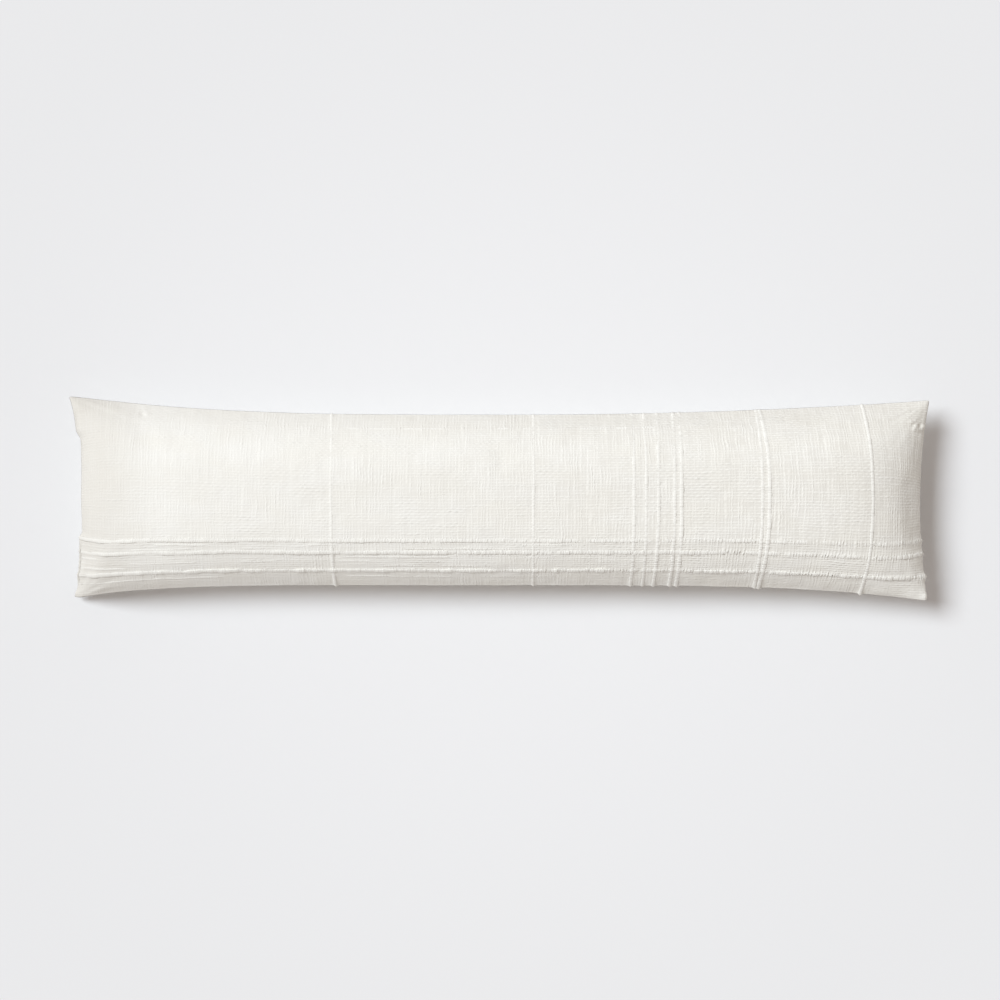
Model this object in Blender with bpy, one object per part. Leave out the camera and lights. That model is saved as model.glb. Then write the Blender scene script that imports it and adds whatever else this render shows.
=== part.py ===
"""Long lumbar cushion: a knife-edge cloth cover filled as one soft body, lying on its back.

X runs along the length, Y across, +Z up. The origin lies under the middle of the cushion,
on the surface that it rests on. All sizes are in metres.
"""

import math

import bmesh
import bpy

# Edge seam, seen from above
WAIST_FAR = 0.1170       # middle of the long edge on +Y, from the centre line
WAIST_NEAR = 0.1192      # middle of the long edge on -Y
END_DIP = {-1: 0.0070, 1: 0.0130}     # how far each short edge draws in at its middle
END_DIP_POWER = {-1: 4.0, 1: 2.0}     # how close to the corners that draw-in stays full

# The four corners, where the cover stands out in blunt points.
# Key: side along X, side along Y. Columns: reach along X, reach along Y, and the power at
# which the long edge beside it draws in (a high power keeps the flare close to the corner).
CORNERS = {
    (-1, 1): {"reach_x": 0.5945, "reach_y": 0.1425, "flare_power": 3.2},
    (1, 1): {"reach_x": 0.5945, "reach_y": 0.1365, "flare_power": 2.1},
    (-1, -1): {"reach_x": 0.5945, "reach_y": 0.1395, "flare_power": 6.0},
    (1, -1): {"reach_x": 0.5905, "reach_y": 0.1425, "flare_power": 3.8},
}

# Filling. Key where there are two: side along X.
SEAM_HEIGHT = 0.0620     # edge seam above the resting surface, along the middle
CORNER_DROOP = 0.0070    # how much lower the seam is at the corners
CROWN_RISE = 0.0500      # top of the crown above the seam
END_POWER = {-1: 11.0, 1: 7.5}        # how late the crown falls towards each short edge
END_FULLNESS = {-1: 0.62, 1: 0.90}    # below 1 the cover leaves that edge steeply
SIDE_POWER = 2.4         # how late the crown falls towards the long edges
SIDE_FULLNESS = 0.85     # the same fullness, for the long edges
REST_CROWN = 0.875       # share of the crown past which the back lies flat on the surface
REST_ROUNDING = 1.25     # how softly the back meets the surface

# Facets
CELLS_LONG = 64
CELLS_ACROSS = 21        # odd, so that one row of flat facets lies under the centre line
CROWD_LONG = 0.6         # share of the spacing that crowds towards the short edges
CROWD_ACROSS = 0.8       # share of the spacing that crowds towards the long edges
WELD_DISTANCE = 1e-6

CLOTH_COLOUR = (0.87, 0.85, 0.80, 1.0)
CLOTH_ROUGHNESS = 0.92


def clear_scene():
    """Remove every object that the file opened with."""
    for thing in list(bpy.data.objects):
        bpy.data.objects.remove(thing, do_unlink=True)


def crowd(position, share):
    """Move an even position in -1..1 towards the ends, by a share of a sine's spacing."""
    return (1.0 - share) * position + share * math.sin(0.5 * math.pi * position)


def blend(low, high, position):
    """Mix two values, from low at -1 to high at 1."""
    return 0.5 * (low * (1.0 - position) + high * (1.0 + position))


def long_edge(along, side):
    """Distance of a long edge from the centre line: its waist, flared towards a corner."""
    waist = WAIST_FAR if side > 0 else WAIST_NEAR
    corner = CORNERS[(1 if along > 0 else -1, side)]
    flare = corner["reach_y"] - waist
    return waist + flare * abs(along) ** corner["flare_power"]


def short_edge(across, end):
    """Distance of a short edge from the middle: corner to corner, drawn in between them."""
    reach = blend(CORNERS[(end, -1)]["reach_x"], CORNERS[(end, 1)]["reach_x"], across)
    return reach - END_DIP[end] * (1.0 - abs(across) ** END_DIP_POWER[end])


def plan_point(along, across):
    """Place of a point of the cover in plan, from its position between the four edges."""
    x = blend(-short_edge(across, -1), short_edge(across, 1), along)
    y = blend(-long_edge(along, -1), long_edge(along, 1), across)
    return x, y


def crown(along, across):
    """Share of the full crown: nothing on the seam, 1 in the middle."""
    end = 1 if along > 0 else -1
    lengthwise = max(1.0 - abs(along) ** END_POWER[end], 0.0)
    crosswise = max(1.0 - abs(across) ** SIDE_POWER, 0.0)
    return lengthwise ** END_FULLNESS[end] * crosswise ** SIDE_FULLNESS


def seam_height(along, across):
    """Height of the seam plane, a little lower towards the corners."""
    return SEAM_HEIGHT - CORNER_DROOP * (along * across) ** 2


def cover_height(along, across, face):
    """Height of the cover: domed on the front, flat on the back where it rests."""
    seam = seam_height(along, across)
    share = crown(along, across)
    if face == "front":
        return seam + CROWN_RISE * share
    lift = max(1.0 - share / REST_CROWN, 0.0)
    return seam * lift ** REST_ROUNDING


def split_corner_facets(verts):
    """Split the facet in each corner through its tip, so that the two sides stand apart there."""
    for tip in [vert for vert in verts if len(vert.link_edges) == 2]:
        facet = tip.link_faces[0]
        beside = {edge.other_vert(tip) for edge in tip.link_edges}
        inner = next(vert for vert in facet.verts if vert is not tip and vert not in beside)
        bmesh.utils.face_split(facet, tip, inner)


def add_panel(bm, face):
    """Add one side of the cover to bm as a grid of facets that look outwards."""
    grid = bmesh.ops.create_grid(bm, x_segments=CELLS_LONG, y_segments=CELLS_ACROSS, size=1.0)
    verts = grid["verts"]
    split_corner_facets(verts)
    for vert in verts:
        along = crowd(vert.co.x, CROWD_LONG)
        across = crowd(vert.co.y, CROWD_ACROSS)
        x, y = plan_point(along, across)
        vert.co = (x, y, cover_height(along, across, face))
    if face == "back":
        faces = list({near for vert in verts for near in vert.link_faces})
        bmesh.ops.reverse_faces(bm, faces=faces)


def cloth_material():
    """Matt off-white slub cloth."""
    material = bpy.data.materials.new("slub_cloth")
    material.use_nodes = True
    shader = material.node_tree.nodes["Principled BSDF"]
    shader.inputs["Base Color"].default_value = CLOTH_COLOUR
    shader.inputs["Roughness"].default_value = CLOTH_ROUGHNESS
    shader.inputs["Metallic"].default_value = 0.0
    material.diffuse_color = CLOTH_COLOUR
    return material


def build_cushion():
    """The filled cover: front and back grids joined along the edge seam."""
    bm = bmesh.new()
    for face in ("front", "back"):
        add_panel(bm, face)
    bmesh.ops.remove_doubles(bm, verts=bm.verts[:], dist=WELD_DISTANCE)
    mesh = bpy.data.meshes.new("cushion")
    bm.to_mesh(mesh)
    bm.free()
    mesh.shade_smooth()
    mesh.materials.append(cloth_material())
    cushion = bpy.data.objects.new("cushion", mesh)
    bpy.context.scene.collection.objects.link(cushion)
    return cushion


def main():
    """Clear the scene and build the one filled body."""
    clear_scene()
    build_cushion()


if __name__ == "__main__":
    main()
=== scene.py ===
"""Looks of the long lumbar pillow: a slub-woven cover with raised thick yarns over its filling.

X runs along the length, Y across and +Z up, in metres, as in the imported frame. The pillow
lies on its back. A place on the cover is given by two numbers in -1..1: along, from the left
short edge to the right one, and across, from the near long edge to the far one.
"""

import logging
import math
from dataclasses import dataclass, field
from enum import Enum

import bpy
import numpy as np
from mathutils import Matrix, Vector


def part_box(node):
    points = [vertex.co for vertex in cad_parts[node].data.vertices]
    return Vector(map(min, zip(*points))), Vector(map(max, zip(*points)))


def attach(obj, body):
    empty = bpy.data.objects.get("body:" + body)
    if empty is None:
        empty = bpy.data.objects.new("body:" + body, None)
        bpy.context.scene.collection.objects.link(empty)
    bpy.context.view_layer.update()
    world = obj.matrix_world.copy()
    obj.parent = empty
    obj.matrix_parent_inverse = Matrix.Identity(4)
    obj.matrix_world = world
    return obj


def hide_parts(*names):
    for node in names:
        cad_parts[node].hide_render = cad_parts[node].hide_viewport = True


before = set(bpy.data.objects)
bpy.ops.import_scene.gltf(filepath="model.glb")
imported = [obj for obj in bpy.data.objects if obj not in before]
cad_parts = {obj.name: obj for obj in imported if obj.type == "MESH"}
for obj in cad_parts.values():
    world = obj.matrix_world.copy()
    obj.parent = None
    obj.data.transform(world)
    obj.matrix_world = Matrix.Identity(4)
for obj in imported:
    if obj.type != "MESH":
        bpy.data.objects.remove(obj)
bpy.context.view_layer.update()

Array = np.ndarray
Colour = tuple[float, float, float]

CUSHION_NODE = "cushion"
BODY = "root"
THREAD_MAP = "threads"      # UV map that counts threads, or measures a yarn's length and girth
BAKE_MAP = "OFBake"         # UV map laid out without overlaps
CROSSED = "crossed"         # mesh attribute: where the ground threads climb over a raised yarn

TINY = 1e-12                # keeps a division from failing where a length is nought
LINE = np.linspace(-1.0, 1.0, 4001)

log = logging.getLogger("pillow")


class Face(Enum):
    """The two sides of the cover."""

    FRONT = "front"
    BACK = "back"


class Run(Enum):
    """Which way a thread runs in the cloth."""

    LENGTHWISE = "lengthwise"
    CROSSWISE = "crosswise"


# --------------------
# Whole-array helpers


def smooth_step(x: Array) -> Array:
    """Ease from 0 at x = 0 to 1 at x = 1, flat beyond both ends: 3x^2 - 2x^3."""
    x = np.clip(x, 0.0, 1.0)
    return x * x * (3.0 - 2.0 * x)


def ease(x: Array, start: float, end: float) -> Array:
    """Ease from 0 at x = start to 1 at x = end: a smooth step of (x - start) over the way."""
    return smooth_step((x - start) / (end - start))


def between(ends: tuple[float, float], share: Array) -> Array:
    """From the first number at a share of 0 to the second at 1, evenly."""
    return ends[0] + (ends[1] - ends[0]) * share


def bump(distance: Array, width: float) -> Array:
    """Bell curve of height 1: e to the power of minus the squared distance over width."""
    return np.exp(-((distance / width) ** 2))


def value_noise(x: Array, y: Array, seed: int, cells: int = 256) -> Array:
    """Smooth noise: random values on a square lattice, blended by a smooth step.

    Args:
        x: First coordinate, in lattice cells.
        y: Second coordinate, in lattice cells.
        seed: Which table of random values to use.
        cells: Size of the table, after which the noise repeats.

    Returns:
        Values between -1 and 1, in the shape of x and y together.
    """
    table = np.random.default_rng(seed).uniform(-1.0, 1.0, (cells, cells))
    x, y = np.broadcast_arrays(np.asarray(x, float), np.asarray(y, float))
    left, low = np.floor(x).astype(int), np.floor(y).astype(int)
    fx, fy = smooth_step(x - left), smooth_step(y - low)
    left, low, right, high = left % cells, low % cells, (left + 1) % cells, (low + 1) % cells
    near = table[left, low] * (1.0 - fx) + table[right, low] * fx
    far = table[left, high] * (1.0 - fx) + table[right, high] * fx
    return near * (1.0 - fy) + far * fy


def layered_noise(x: Array, y: Array, seed: int, layers: int = 3) -> Array:
    """Sum of value noises, each twice as fine and half as strong as the one before.

    Args:
        x: First coordinate, in cells of the coarsest layer.
        y: Second coordinate, in cells of the coarsest layer.
        seed: Seed of the coarsest layer.
        layers: How many layers are summed.

    Returns:
        Values of about -1 to 1.
    """
    total = sum(value_noise(x * 2.0**k, y * 2.0**k, seed + k) * 0.5**k for k in range(layers))
    return total / (2.0 - 0.5 ** (layers - 1))


def cubic_weights(knots: int, at: Array) -> Array:
    """Matrix that reads a row of evenly spaced knots at other places by a smooth cubic.

    Args:
        knots: How many knots there are, spread evenly from -1 to 1.
        at: The places to read, in -1..1.

    Returns:
        Array of len(at) by knots, whose rows are Catmull-Rom weights.
    """
    place = (np.asarray(at) + 1.0) * 0.5 * (knots - 1)
    cell = np.clip(np.floor(place).astype(int), 0, knots - 2)
    f = place - cell
    parts = (
        -0.5 * f + f**2 - 0.5 * f**3,
        1.0 - 2.5 * f**2 + 1.5 * f**3,
        0.5 * f + 2.0 * f**2 - 1.5 * f**3,
        -0.5 * f**2 + 0.5 * f**3,
    )
    weights = np.zeros((len(place), knots))
    rows = np.arange(len(place))
    for offset, part in zip((-1, 0, 1, 2), parts):
        np.add.at(weights, (rows, np.clip(cell + offset, 0, knots - 1)), part)
    return weights


def resample(grid: Array, along: Array, across: Array) -> Array:
    """Read an evenly spaced grid of points at finer places by smooth cubics both ways.

    Args:
        grid: Points on a grid over -1..1 both ways.
        along: Places to read one way.
        across: Places to read the other way.

    Returns:
        Grid of points, one row for each place along.
    """
    first = cubic_weights(grid.shape[0], along)
    second = cubic_weights(grid.shape[1], across)
    return np.einsum("ai,ijk,bj->abk", first, grid, second, optimize=True)


def unit(vectors: Array) -> Array:
    """Vectors over their own length."""
    return vectors / np.maximum(np.linalg.norm(vectors, axis=-1, keepdims=True), TINY)


def grid_normals(points: Array) -> Array:
    """Unit normals of a grid of points: the cross product of its two directions."""
    return unit(np.cross(np.gradient(points, axis=0), np.gradient(points, axis=1)))


def read_grid(grid: Array, along: Array, across: Array) -> Array:
    """Read an evenly spaced grid at scattered places, mixing the four nearest points.

    Args:
        grid: Values on a grid over -1..1 both ways, with any last axis.
        along: First place of each reading.
        across: Second place of each reading.

    Returns:
        One row for each reading.
    """
    i = np.clip((along + 1.0) * 0.5, 0.0, 1.0) * (grid.shape[0] - 1)
    j = np.clip((across + 1.0) * 0.5, 0.0, 1.0) * (grid.shape[1] - 1)
    a = np.minimum(i.astype(int), grid.shape[0] - 2)
    b = np.minimum(j.astype(int), grid.shape[1] - 2)
    fi, fj = (i - a)[..., None], (j - b)[..., None]
    low = grid[a, b] * (1.0 - fi) + grid[a + 1, b] * fi
    high = grid[a, b + 1] * (1.0 - fi) + grid[a + 1, b + 1] * fi
    return low * (1.0 - fj) + high * fj


def grid_quads(index: Array) -> Array:
    """Quads of a grid of vertex numbers, one row for each, anticlockwise seen from above."""
    corners = index[:-1, :-1], index[1:, :-1], index[1:, 1:], index[:-1, 1:]
    return np.stack(corners, axis=-1).reshape(-1, 4)


def fan(ring: list[int], hub: int) -> list[list[int]]:
    """Cut a ring of vertices into triangles that all meet at one of them.

    Args:
        ring: Vertex numbers in order.
        hub: Which place in the ring they meet at.

    Returns:
        Three vertex numbers for each triangle.
    """
    ring = ring[hub:] + ring[:hub]
    return [[ring[0], *pair] for pair in zip(ring[1:], ring[2:])]


# --------------------
# Meshes


def new_mesh_object(name: str, points: Array, faces: list[list[int]]) -> bpy.types.Object:
    """Make a smooth-shaded mesh object at the origin from points and faces.

    Args:
        name: Name of the piece.
        points: One row of x, y and z for each vertex.
        faces: Vertex numbers of each face, facing outwards.

    Returns:
        The object, linked to the scene.
    """
    mesh = bpy.data.meshes.new(name)
    mesh.from_pydata(points.tolist(), [], faces)
    mesh.polygons.foreach_set("use_smooth", np.ones(len(mesh.polygons), bool))
    mesh.update()
    piece = bpy.data.objects.new(name, mesh)
    bpy.context.scene.collection.objects.link(piece)
    return piece


def set_map(piece: bpy.types.Object, name: str, per_loop: Array) -> None:
    """Give a piece a UV map with one row of two numbers for each face corner."""
    layer = piece.data.uv_layers.new(name=name)
    layer.data.foreach_set("uv", np.ascontiguousarray(per_loop, np.float32).ravel())


def loop_vertices(piece: bpy.types.Object) -> Array:
    """Vertex number of each face corner of a piece.

    Args:
        piece: A mesh object.

    Returns:
        Row of numbers.
    """
    corners = np.empty(len(piece.data.loops), np.int32)
    piece.data.loops.foreach_get("vertex_index", corners)
    return corners


@dataclass
class TubeBatch:
    """Closed tubes gathered into one mesh, each a ring carried along its own path."""

    sides: int
    tip: float = 0.01           # how far a tip stands off on the maps, against the tube's length
    row_gap: float = 0.05       # empty share of a row, either side of a tube
    end_gap: float = 0.02       # empty share of the map beyond either end of a row
    points: list[Array] = field(default_factory=list)
    faces: list[tuple[Array, Array]] = field(default_factory=list)
    maps: list[tuple[Array, Array]] = field(default_factory=list)
    count: int = 0

    def add(self, path: Array, up: Array, half_width: Array, half_height: Array) -> None:
        """Add one tube: an ellipse round each point of the path, closed to a point at both ends.

        Args:
            path: Points down the middle of the tube.
            up: Unit direction of the ellipse's height at each point.
            half_width: Half the ellipse's width at each point.
            half_height: Half the ellipse's height at each point.
        """
        ahead = unit(np.gradient(path, axis=0))
        side = unit(np.cross(up, ahead))
        lift = np.cross(ahead, side)
        turn = np.linspace(0.0, 2.0 * math.pi, self.sides, endpoint=False)
        ring = (
            path[:, None]
            + side[:, None] * (half_width[:, None] * np.cos(turn))[..., None]
            + lift[:, None] * (half_height[:, None] * np.sin(turn))[..., None]
        )
        rows = len(path)
        index = self.count + np.arange(rows * self.sides).reshape(rows, self.sides)
        near, far = index, np.roll(index, -1, axis=1)
        walls = np.stack([near[:-1], far[:-1], far[1:], near[1:]], -1).reshape(-1, 4)
        first, last = index[-1, -1] + 1, index[-1, -1] + 2
        caps = [
            np.stack([np.full(self.sides, tip), one, other], -1)
            for tip, one, other in ((first, far[0], near[0]), (last, near[-1], far[-1]))
        ]
        self.points.append(np.concatenate([ring.reshape(-1, 3), path[:1], path[-1:]]))
        self.faces.append((walls, np.concatenate(caps)))
        steps = np.linalg.norm(np.diff(path, axis=0), axis=1)
        run = np.concatenate([[0.0], np.cumsum(steps)])
        self.maps.append((self.wall_map(run), self.cap_map(run)))
        self.count = int(last) + 1

    def wall_map(self, run: Array) -> Array:
        """Metres along and turns round at the four corners of each wall face.

        Args:
            run: Distance along the tube at each ring.

        Returns:
            Rows of two numbers, four to a face.
        """
        wrap = np.linspace(0.0, 1.0, self.sides + 1)
        near, far, low, high = run[:-1, None], run[1:, None], wrap[None, :-1], wrap[None, 1:]
        corners = ((near, low), (near, high), (far, high), (far, low))
        rows = [np.stack(np.broadcast_arrays(*pair), -1) for pair in corners]
        return np.stack(rows, 2).reshape(-1, 2)

    def cap_map(self, run: Array) -> Array:
        """Metres along and turns round at the three corners of each cap face, the tips set off.

        Args:
            run: Distance along the tube at each ring.

        Returns:
            Rows of two numbers, three to a face, the first cap before the last.
        """
        wrap = np.linspace(0.0, 1.0, self.sides + 1)
        low, high, tip = wrap[:-1], wrap[1:], self.tip * run[-1]
        first = ((run[0] - tip, 0.5 * (low + high)), (run[0], high), (run[0], low))
        last = ((run[-1] + tip, 0.5 * (low + high)), (run[-1], low), (run[-1], high))
        rows = [[np.stack(np.broadcast_arrays(*pair), -1) for pair in cap] for cap in (first, last)]
        return np.concatenate([np.stack(cap, 1).reshape(-1, 2) for cap in rows])

    def build(self, name: str) -> bpy.types.Object:
        """Make one object of all the tubes, with a map of length and girth and one in rows.

        Args:
            name: Name of the object.

        Returns:
            The object, whose second map gives each tube a row of its own.
        """
        walls, caps = (np.concatenate(group).tolist() for group in zip(*self.faces))
        piece = new_mesh_object(name, np.concatenate(self.points), walls + caps)
        parts = [part for group in zip(*self.maps) for part in group]
        set_map(piece, THREAD_MAP, np.concatenate(parts))
        rows = len(self.maps)
        flat = []
        for number, part in enumerate(parts):
            row, length = number % rows, self.maps[number % rows][0][:, 0].max()
            along = self.end_gap + (1.0 - 2.0 * self.end_gap) * part[:, 0] / length
            across = (row + self.row_gap + (1.0 - 2.0 * self.row_gap) * part[:, 1]) / rows
            flat.append(np.stack([along, across], -1))
        set_map(piece, BAKE_MAP, np.concatenate(flat))
        return piece


# --------------------
# Materials


@dataclass(frozen=True)
class Value:
    """What a node of a material gives. Arithmetic with it adds Math nodes."""

    graph: "Graph"
    socket: bpy.types.NodeSocket

    def __add__(self, other: "Value | float") -> "Value":
        """Sum."""
        return self.graph.math("ADD", self, other)

    def __sub__(self, other: "Value | float") -> "Value":
        """Difference."""
        return self.graph.math("SUBTRACT", self, other)

    def __rsub__(self, other: float) -> "Value":
        """Difference from a plain number."""
        return self.graph.math("SUBTRACT", other, self)

    def __mul__(self, other: "Value | float") -> "Value":
        """Product."""
        return self.graph.math("MULTIPLY", self, other)

    def __truediv__(self, other: float) -> "Value":
        """Quotient."""
        return self.graph.math("DIVIDE", self, other)


@dataclass(frozen=True)
class Patches:
    """A noise over the cloth: its lumps to a thread either way, its slice and its detail."""

    along: float
    across: float
    part: float = 0.0
    detail: float = 1.0


class Graph:
    """Short ways to add and link the nodes of one material."""

    def __init__(self, name: str) -> None:
        """Make a material that holds one Principled shader and its output.

        Args:
            name: Name of the material.
        """
        self.material = bpy.data.materials.new(name)
        self.material.use_nodes = True
        self.tree = self.material.node_tree
        self.shader = self.tree.nodes["Principled BSDF"]

    def node(
        self, kind: str, sources: dict[str | int, object], end: str | int = 0, **settings: object
    ) -> Value:
        """Add a node.

        Args:
            kind: Blender's name of the node.
            sources: What feeds each of its sockets.
            end: Which of its results is wanted.
            settings: Its named properties.

        Returns:
            The result.
        """
        made = self.tree.nodes.new(kind)
        for key, value in settings.items():
            setattr(made, key, value)
        for key, source in sources.items():
            self.link(source, made.inputs[key])
        return Value(self, made.outputs[end])

    def link(self, source: object, socket: bpy.types.NodeSocket) -> None:
        """Feed a socket.

        Args:
            source: A value from another node, a plain number or a plain colour.
            socket: The socket that it feeds.
        """
        if isinstance(source, Value):
            self.tree.links.new(source.socket, socket)
        else:
            socket.default_value = opaque(source) if isinstance(source, tuple) else source

    def math(self, operation: str, *values: object) -> Value:
        """Add a Math node, by Blender's name of its operation, fed in order."""
        return self.node("ShaderNodeMath", dict(enumerate(values)), operation=operation)

    def ramp(self, value: Value, low: float, high: float) -> Value:
        """Scale a value so that low becomes 0 and high becomes 1, smoothly and clamped."""
        ends = {"Value": value, "From Min": low, "From Max": high}
        return self.node("ShaderNodeMapRange", ends, interpolation_type="SMOOTHSTEP")

    def point(self, x: object, y: object, z: float = 0.0) -> Value:
        """Join three values into a vector."""
        return self.node("ShaderNodeCombineXYZ", {0: x, 1: y, 2: z})

    def noise(self, place: Value, scale: float, detail: float = 1.0) -> Value:
        """Add a noise of a scale and detail, with values around one half."""
        ends = {"Vector": place, "Scale": scale, "Detail": detail}
        return self.node("ShaderNodeTexNoise", ends, "Fac")

    def patches(self, u: Value, v: Value, kind: Patches) -> Value:
        """Add a noise over the cloth, at a place counted in threads."""
        return self.noise(self.point(u * kind.along, v * kind.across, kind.part), 1.0, kind.detail)

    def mix(self, share: Value, first: object, second: Colour) -> Value:
        """Mix two colours by a share, from the first at 0 to the second at 1."""
        ends = {"Factor": share, "A": first, "B": second}
        return self.node("ShaderNodeMix", ends, "Result", data_type="RGBA")

    def place(self) -> Value:
        """Place on the object."""
        return self.node("ShaderNodeTexCoord", {}, "Object")

    def axis(self, vector: Value, which: str) -> Value:
        """One of a vector's three numbers, X, Y or Z."""
        return self.node("ShaderNodeSeparateXYZ", {0: vector}, which)

    def map_axes(self, name: str) -> tuple[Value, Value]:
        """First and second coordinate of a piece's UV map."""
        place = self.node("ShaderNodeUVMap", {}, "UV", uv_map=name)
        return self.axis(place, "X"), self.axis(place, "Y")

    def bump(self, height: Value, depth: float, below: Value | None = None) -> Value:
        """Turn a height into a bump.

        Args:
            height: Height, of 0 to 1.
            depth: How many metres 1 stands for.
            below: A bump that this one lies on.

        Returns:
            The normal.
        """
        ends = {"Height": height, "Strength": 1.0, "Distance": depth}
        ends |= {"Normal": below} if below else {}
        return self.node("ShaderNodeBump", ends, "Normal")

    def finished(self, colour: Value, **sockets: object) -> bpy.types.Material:
        """Feed the shader.

        Args:
            colour: The colour.
            sockets: Its other sockets, by name with _ for each space.

        Returns:
            The material.
        """
        self.link(colour, self.shader.inputs["Base Color"])
        for name, source in sockets.items():
            self.link(source, self.shader.inputs[name.replace("_", " ")])
        return self.material


def opaque(colour: Colour) -> tuple[float, float, float, float]:
    """A colour with full opacity."""
    return (*colour, 1.0)


@dataclass(frozen=True)
class ClothFinish:
    """Plain weave of uneven spun cotton, off-white and matt."""

    light: Colour = (0.890, 0.877, 0.834)
    warm_tone_and_shade: Colour = (0.871, 0.851, 0.792)
    # painted shade: the tone of the gaps between the threads, and of the left end and far edge
    gap_shade: Colour = (0.61, 0.575, 0.52)
    roughness: float = 0.93
    sheen: float = 0.12
    specular: float = 0.25
    threads_long: float = 270.9   # how many upright threads lie side by side along the pillow
    threads_wide: float = 74.4    # and how many level ones across it
    spinning: Patches = Patches(5.37, 0.12, detail=3.0)  # thick and thin places, by thread number
    uneven: float = 3.0           # how much thicker the thick ones are
    body: float = 0.72            # thickness of a thread's middling places
    thinnest: float = 0.1
    under: float = 0.45           # height of a thread where it passes under, against over
    warp_part: float = 311.0      # where the upright threads' spinning starts in its noise
    wander: Patches = Patches(0.21, 0.21, detail=2.0)
    wander_reach: float = 1.1     # how far the upright threads wander, in threads
    bunches: Patches = Patches(0.55, 0.05, 11.0)
    bunching: float = 1.5         # how unevenly they are spaced, in threads
    sway: Patches = Patches(0.17, 0.25, 7.0, 2.0)
    sway_reach: float = 0.9       # how far the level threads wander, in threads
    hiding: Patches = Patches(0.06, 0.08, 3.0)
    patchy: float = 2.2           # how far one set of threads hides the other, in patches
    level_lead: float = 0.15      # how much fuller the level threads are than the upright ones
    climb: float = 0.9            # how far the threads that climb a raised yarn hide the others
    climb_depth: float = 1.35     # how much deeper the weave is there
    blend: float = 0.3            # how softly one set of threads goes over into the other
    streaks: Patches = Patches(0.8, 0.035, 19.0)
    streaky: float = 0.35         # height of the long uneven streaks along the upright threads
    change: tuple[float, float] = (-0.5, 0.4)  # shares of the length over which looks change
    calm: float = 0.62            # depth of the weave at the left end, against the right
    weave_depth: float = 0.00045
    fibre: Patches = Patches(9.0, 9.0, detail=3.0)
    fibre_depth: float = 0.00005
    tint: Patches = Patches(0.05, 0.09, detail=3.0)
    tint_edges: tuple[float, float] = (0.35, 0.65)
    tinted: float = 0.6           # how much of the warmer tone comes in patches; the rest is painted shade growing towards the right end
    gap_depth: tuple[float, float] = (0.25, 0.95)  # heights at which the gaps begin and end
    gap_shade_left: float = 0.08        # how much painted shade the gaps get at the left end
    gap_shade_right: float = 0.26       # and how much more at the right end
    drawn_up: tuple[float, float] = (-22.0, -14.0)  # where the long yarns draw them shut
    drawn_shut: float = 0.15      # how much of the gaps is left there
    edge_shade: float = 0.67         # how much more painted shade lies over the left end and the far edge
    edge_shade_left: float = 34.0    # how far in from the left edge that goes, in threads
    edge_shade_far: float = 21.0     # and from the far edge
    far_edge_shade_share: float = 0.28       # how much of it the far edge has

    def thread(self, g: Graph, beside: Value, spun: Value, lift: Value) -> Value:
        """Height of one set of threads: a round back, as wide as its spinning, times its lift.

        Args:
            g: The material's graph.
            beside: Distance from the middle of the thread, in threads.
            spun: How thickly it is spun there, around one half.
            lift: 1 where the thread passes over and 0 where it passes under.

        Returns:
            Height from 0 to about 1.
        """
        body = g.math("MAXIMUM", (spun - 0.5) * self.uneven + self.body, self.thinnest)
        back = g.math("COSINE", beside * (2.0 * math.pi)) * 0.5 + 0.5
        return back * body * (lift * (1.0 - self.under) + self.under)

    def weave(self, g: Graph, u: Value, v: Value, crossed: Value) -> Value:
        """Height of the plain weave: each thread rises over every second one it crosses.

        Args:
            g: The material's graph.
            u: Place along the cloth, in threads.
            v: Place across it, in threads.
            crossed: 1 where upright threads climb over a yarn, -1 where level ones do.

        Returns:
            Height from 0 to about 1.
        """
        u = u + (g.patches(u, v, self.wander) - 0.5) * self.wander_reach
        u = u + (g.patches(u, v, self.bunches) - 0.5) * self.bunching
        v = v + (g.patches(u, v, self.sway) - 0.5) * self.sway_reach
        upright, level = g.math("ROUND", u), g.math("ROUND", v)
        weft_over = g.math("COSINE", (u + level) * math.pi) * 0.5 + 0.5
        warp_over = g.math("COSINE", (v + upright) * math.pi) * -0.5 + 0.5
        weft_spun = g.patches(level, u, self.spinning)
        warp_spun = g.patches(upright + self.warp_part, v, self.spinning)
        weft = self.thread(g, v - level, weft_spun, weft_over)
        warp = self.thread(g, u - upright, warp_spun, warp_over)
        tilt = (g.patches(u, v, self.hiding) - 0.5) * self.patchy + self.level_lead
        tilt = tilt - crossed * self.climb
        both = g.math("SMOOTH_MAX", weft * (tilt + 1.0), warp * (1.0 - tilt), self.blend)
        return g.patches(u, v, self.streaks) * self.streaky + both

    def painted_gap_shade(self, g: Graph, u: Value, v: Value, side: Value, height: Value) -> Value:
        """Share of painted shade: in the gaps between the threads, and over the left end and the
        far edge.

        Args:
            g: The material's graph.
            u: Place along the cloth, in threads.
            v: Place across it, in threads.
            side: 0 at the left end to 1 at the right.
            height: Height of the weave.

        Returns:
            Share from 0 to 1.
        """
        left, far = -0.5 * self.threads_long, 0.5 * self.threads_wide
        gaps = 1.0 - g.ramp(height, *self.gap_depth)
        gaps = gaps * (side * self.gap_shade_right + self.gap_shade_left)
        gaps = gaps * (g.ramp(v, *self.drawn_up) * (1.0 - self.drawn_shut) + self.drawn_shut)
        left_edge_shade = 1.0 - g.ramp(u, left, left + self.edge_shade_left)
        far_edge_shade = g.ramp(v, far - self.edge_shade_far, far) * self.far_edge_shade_share
        return g.math("MAXIMUM", left_edge_shade, far_edge_shade) * self.edge_shade + gaps

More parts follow.
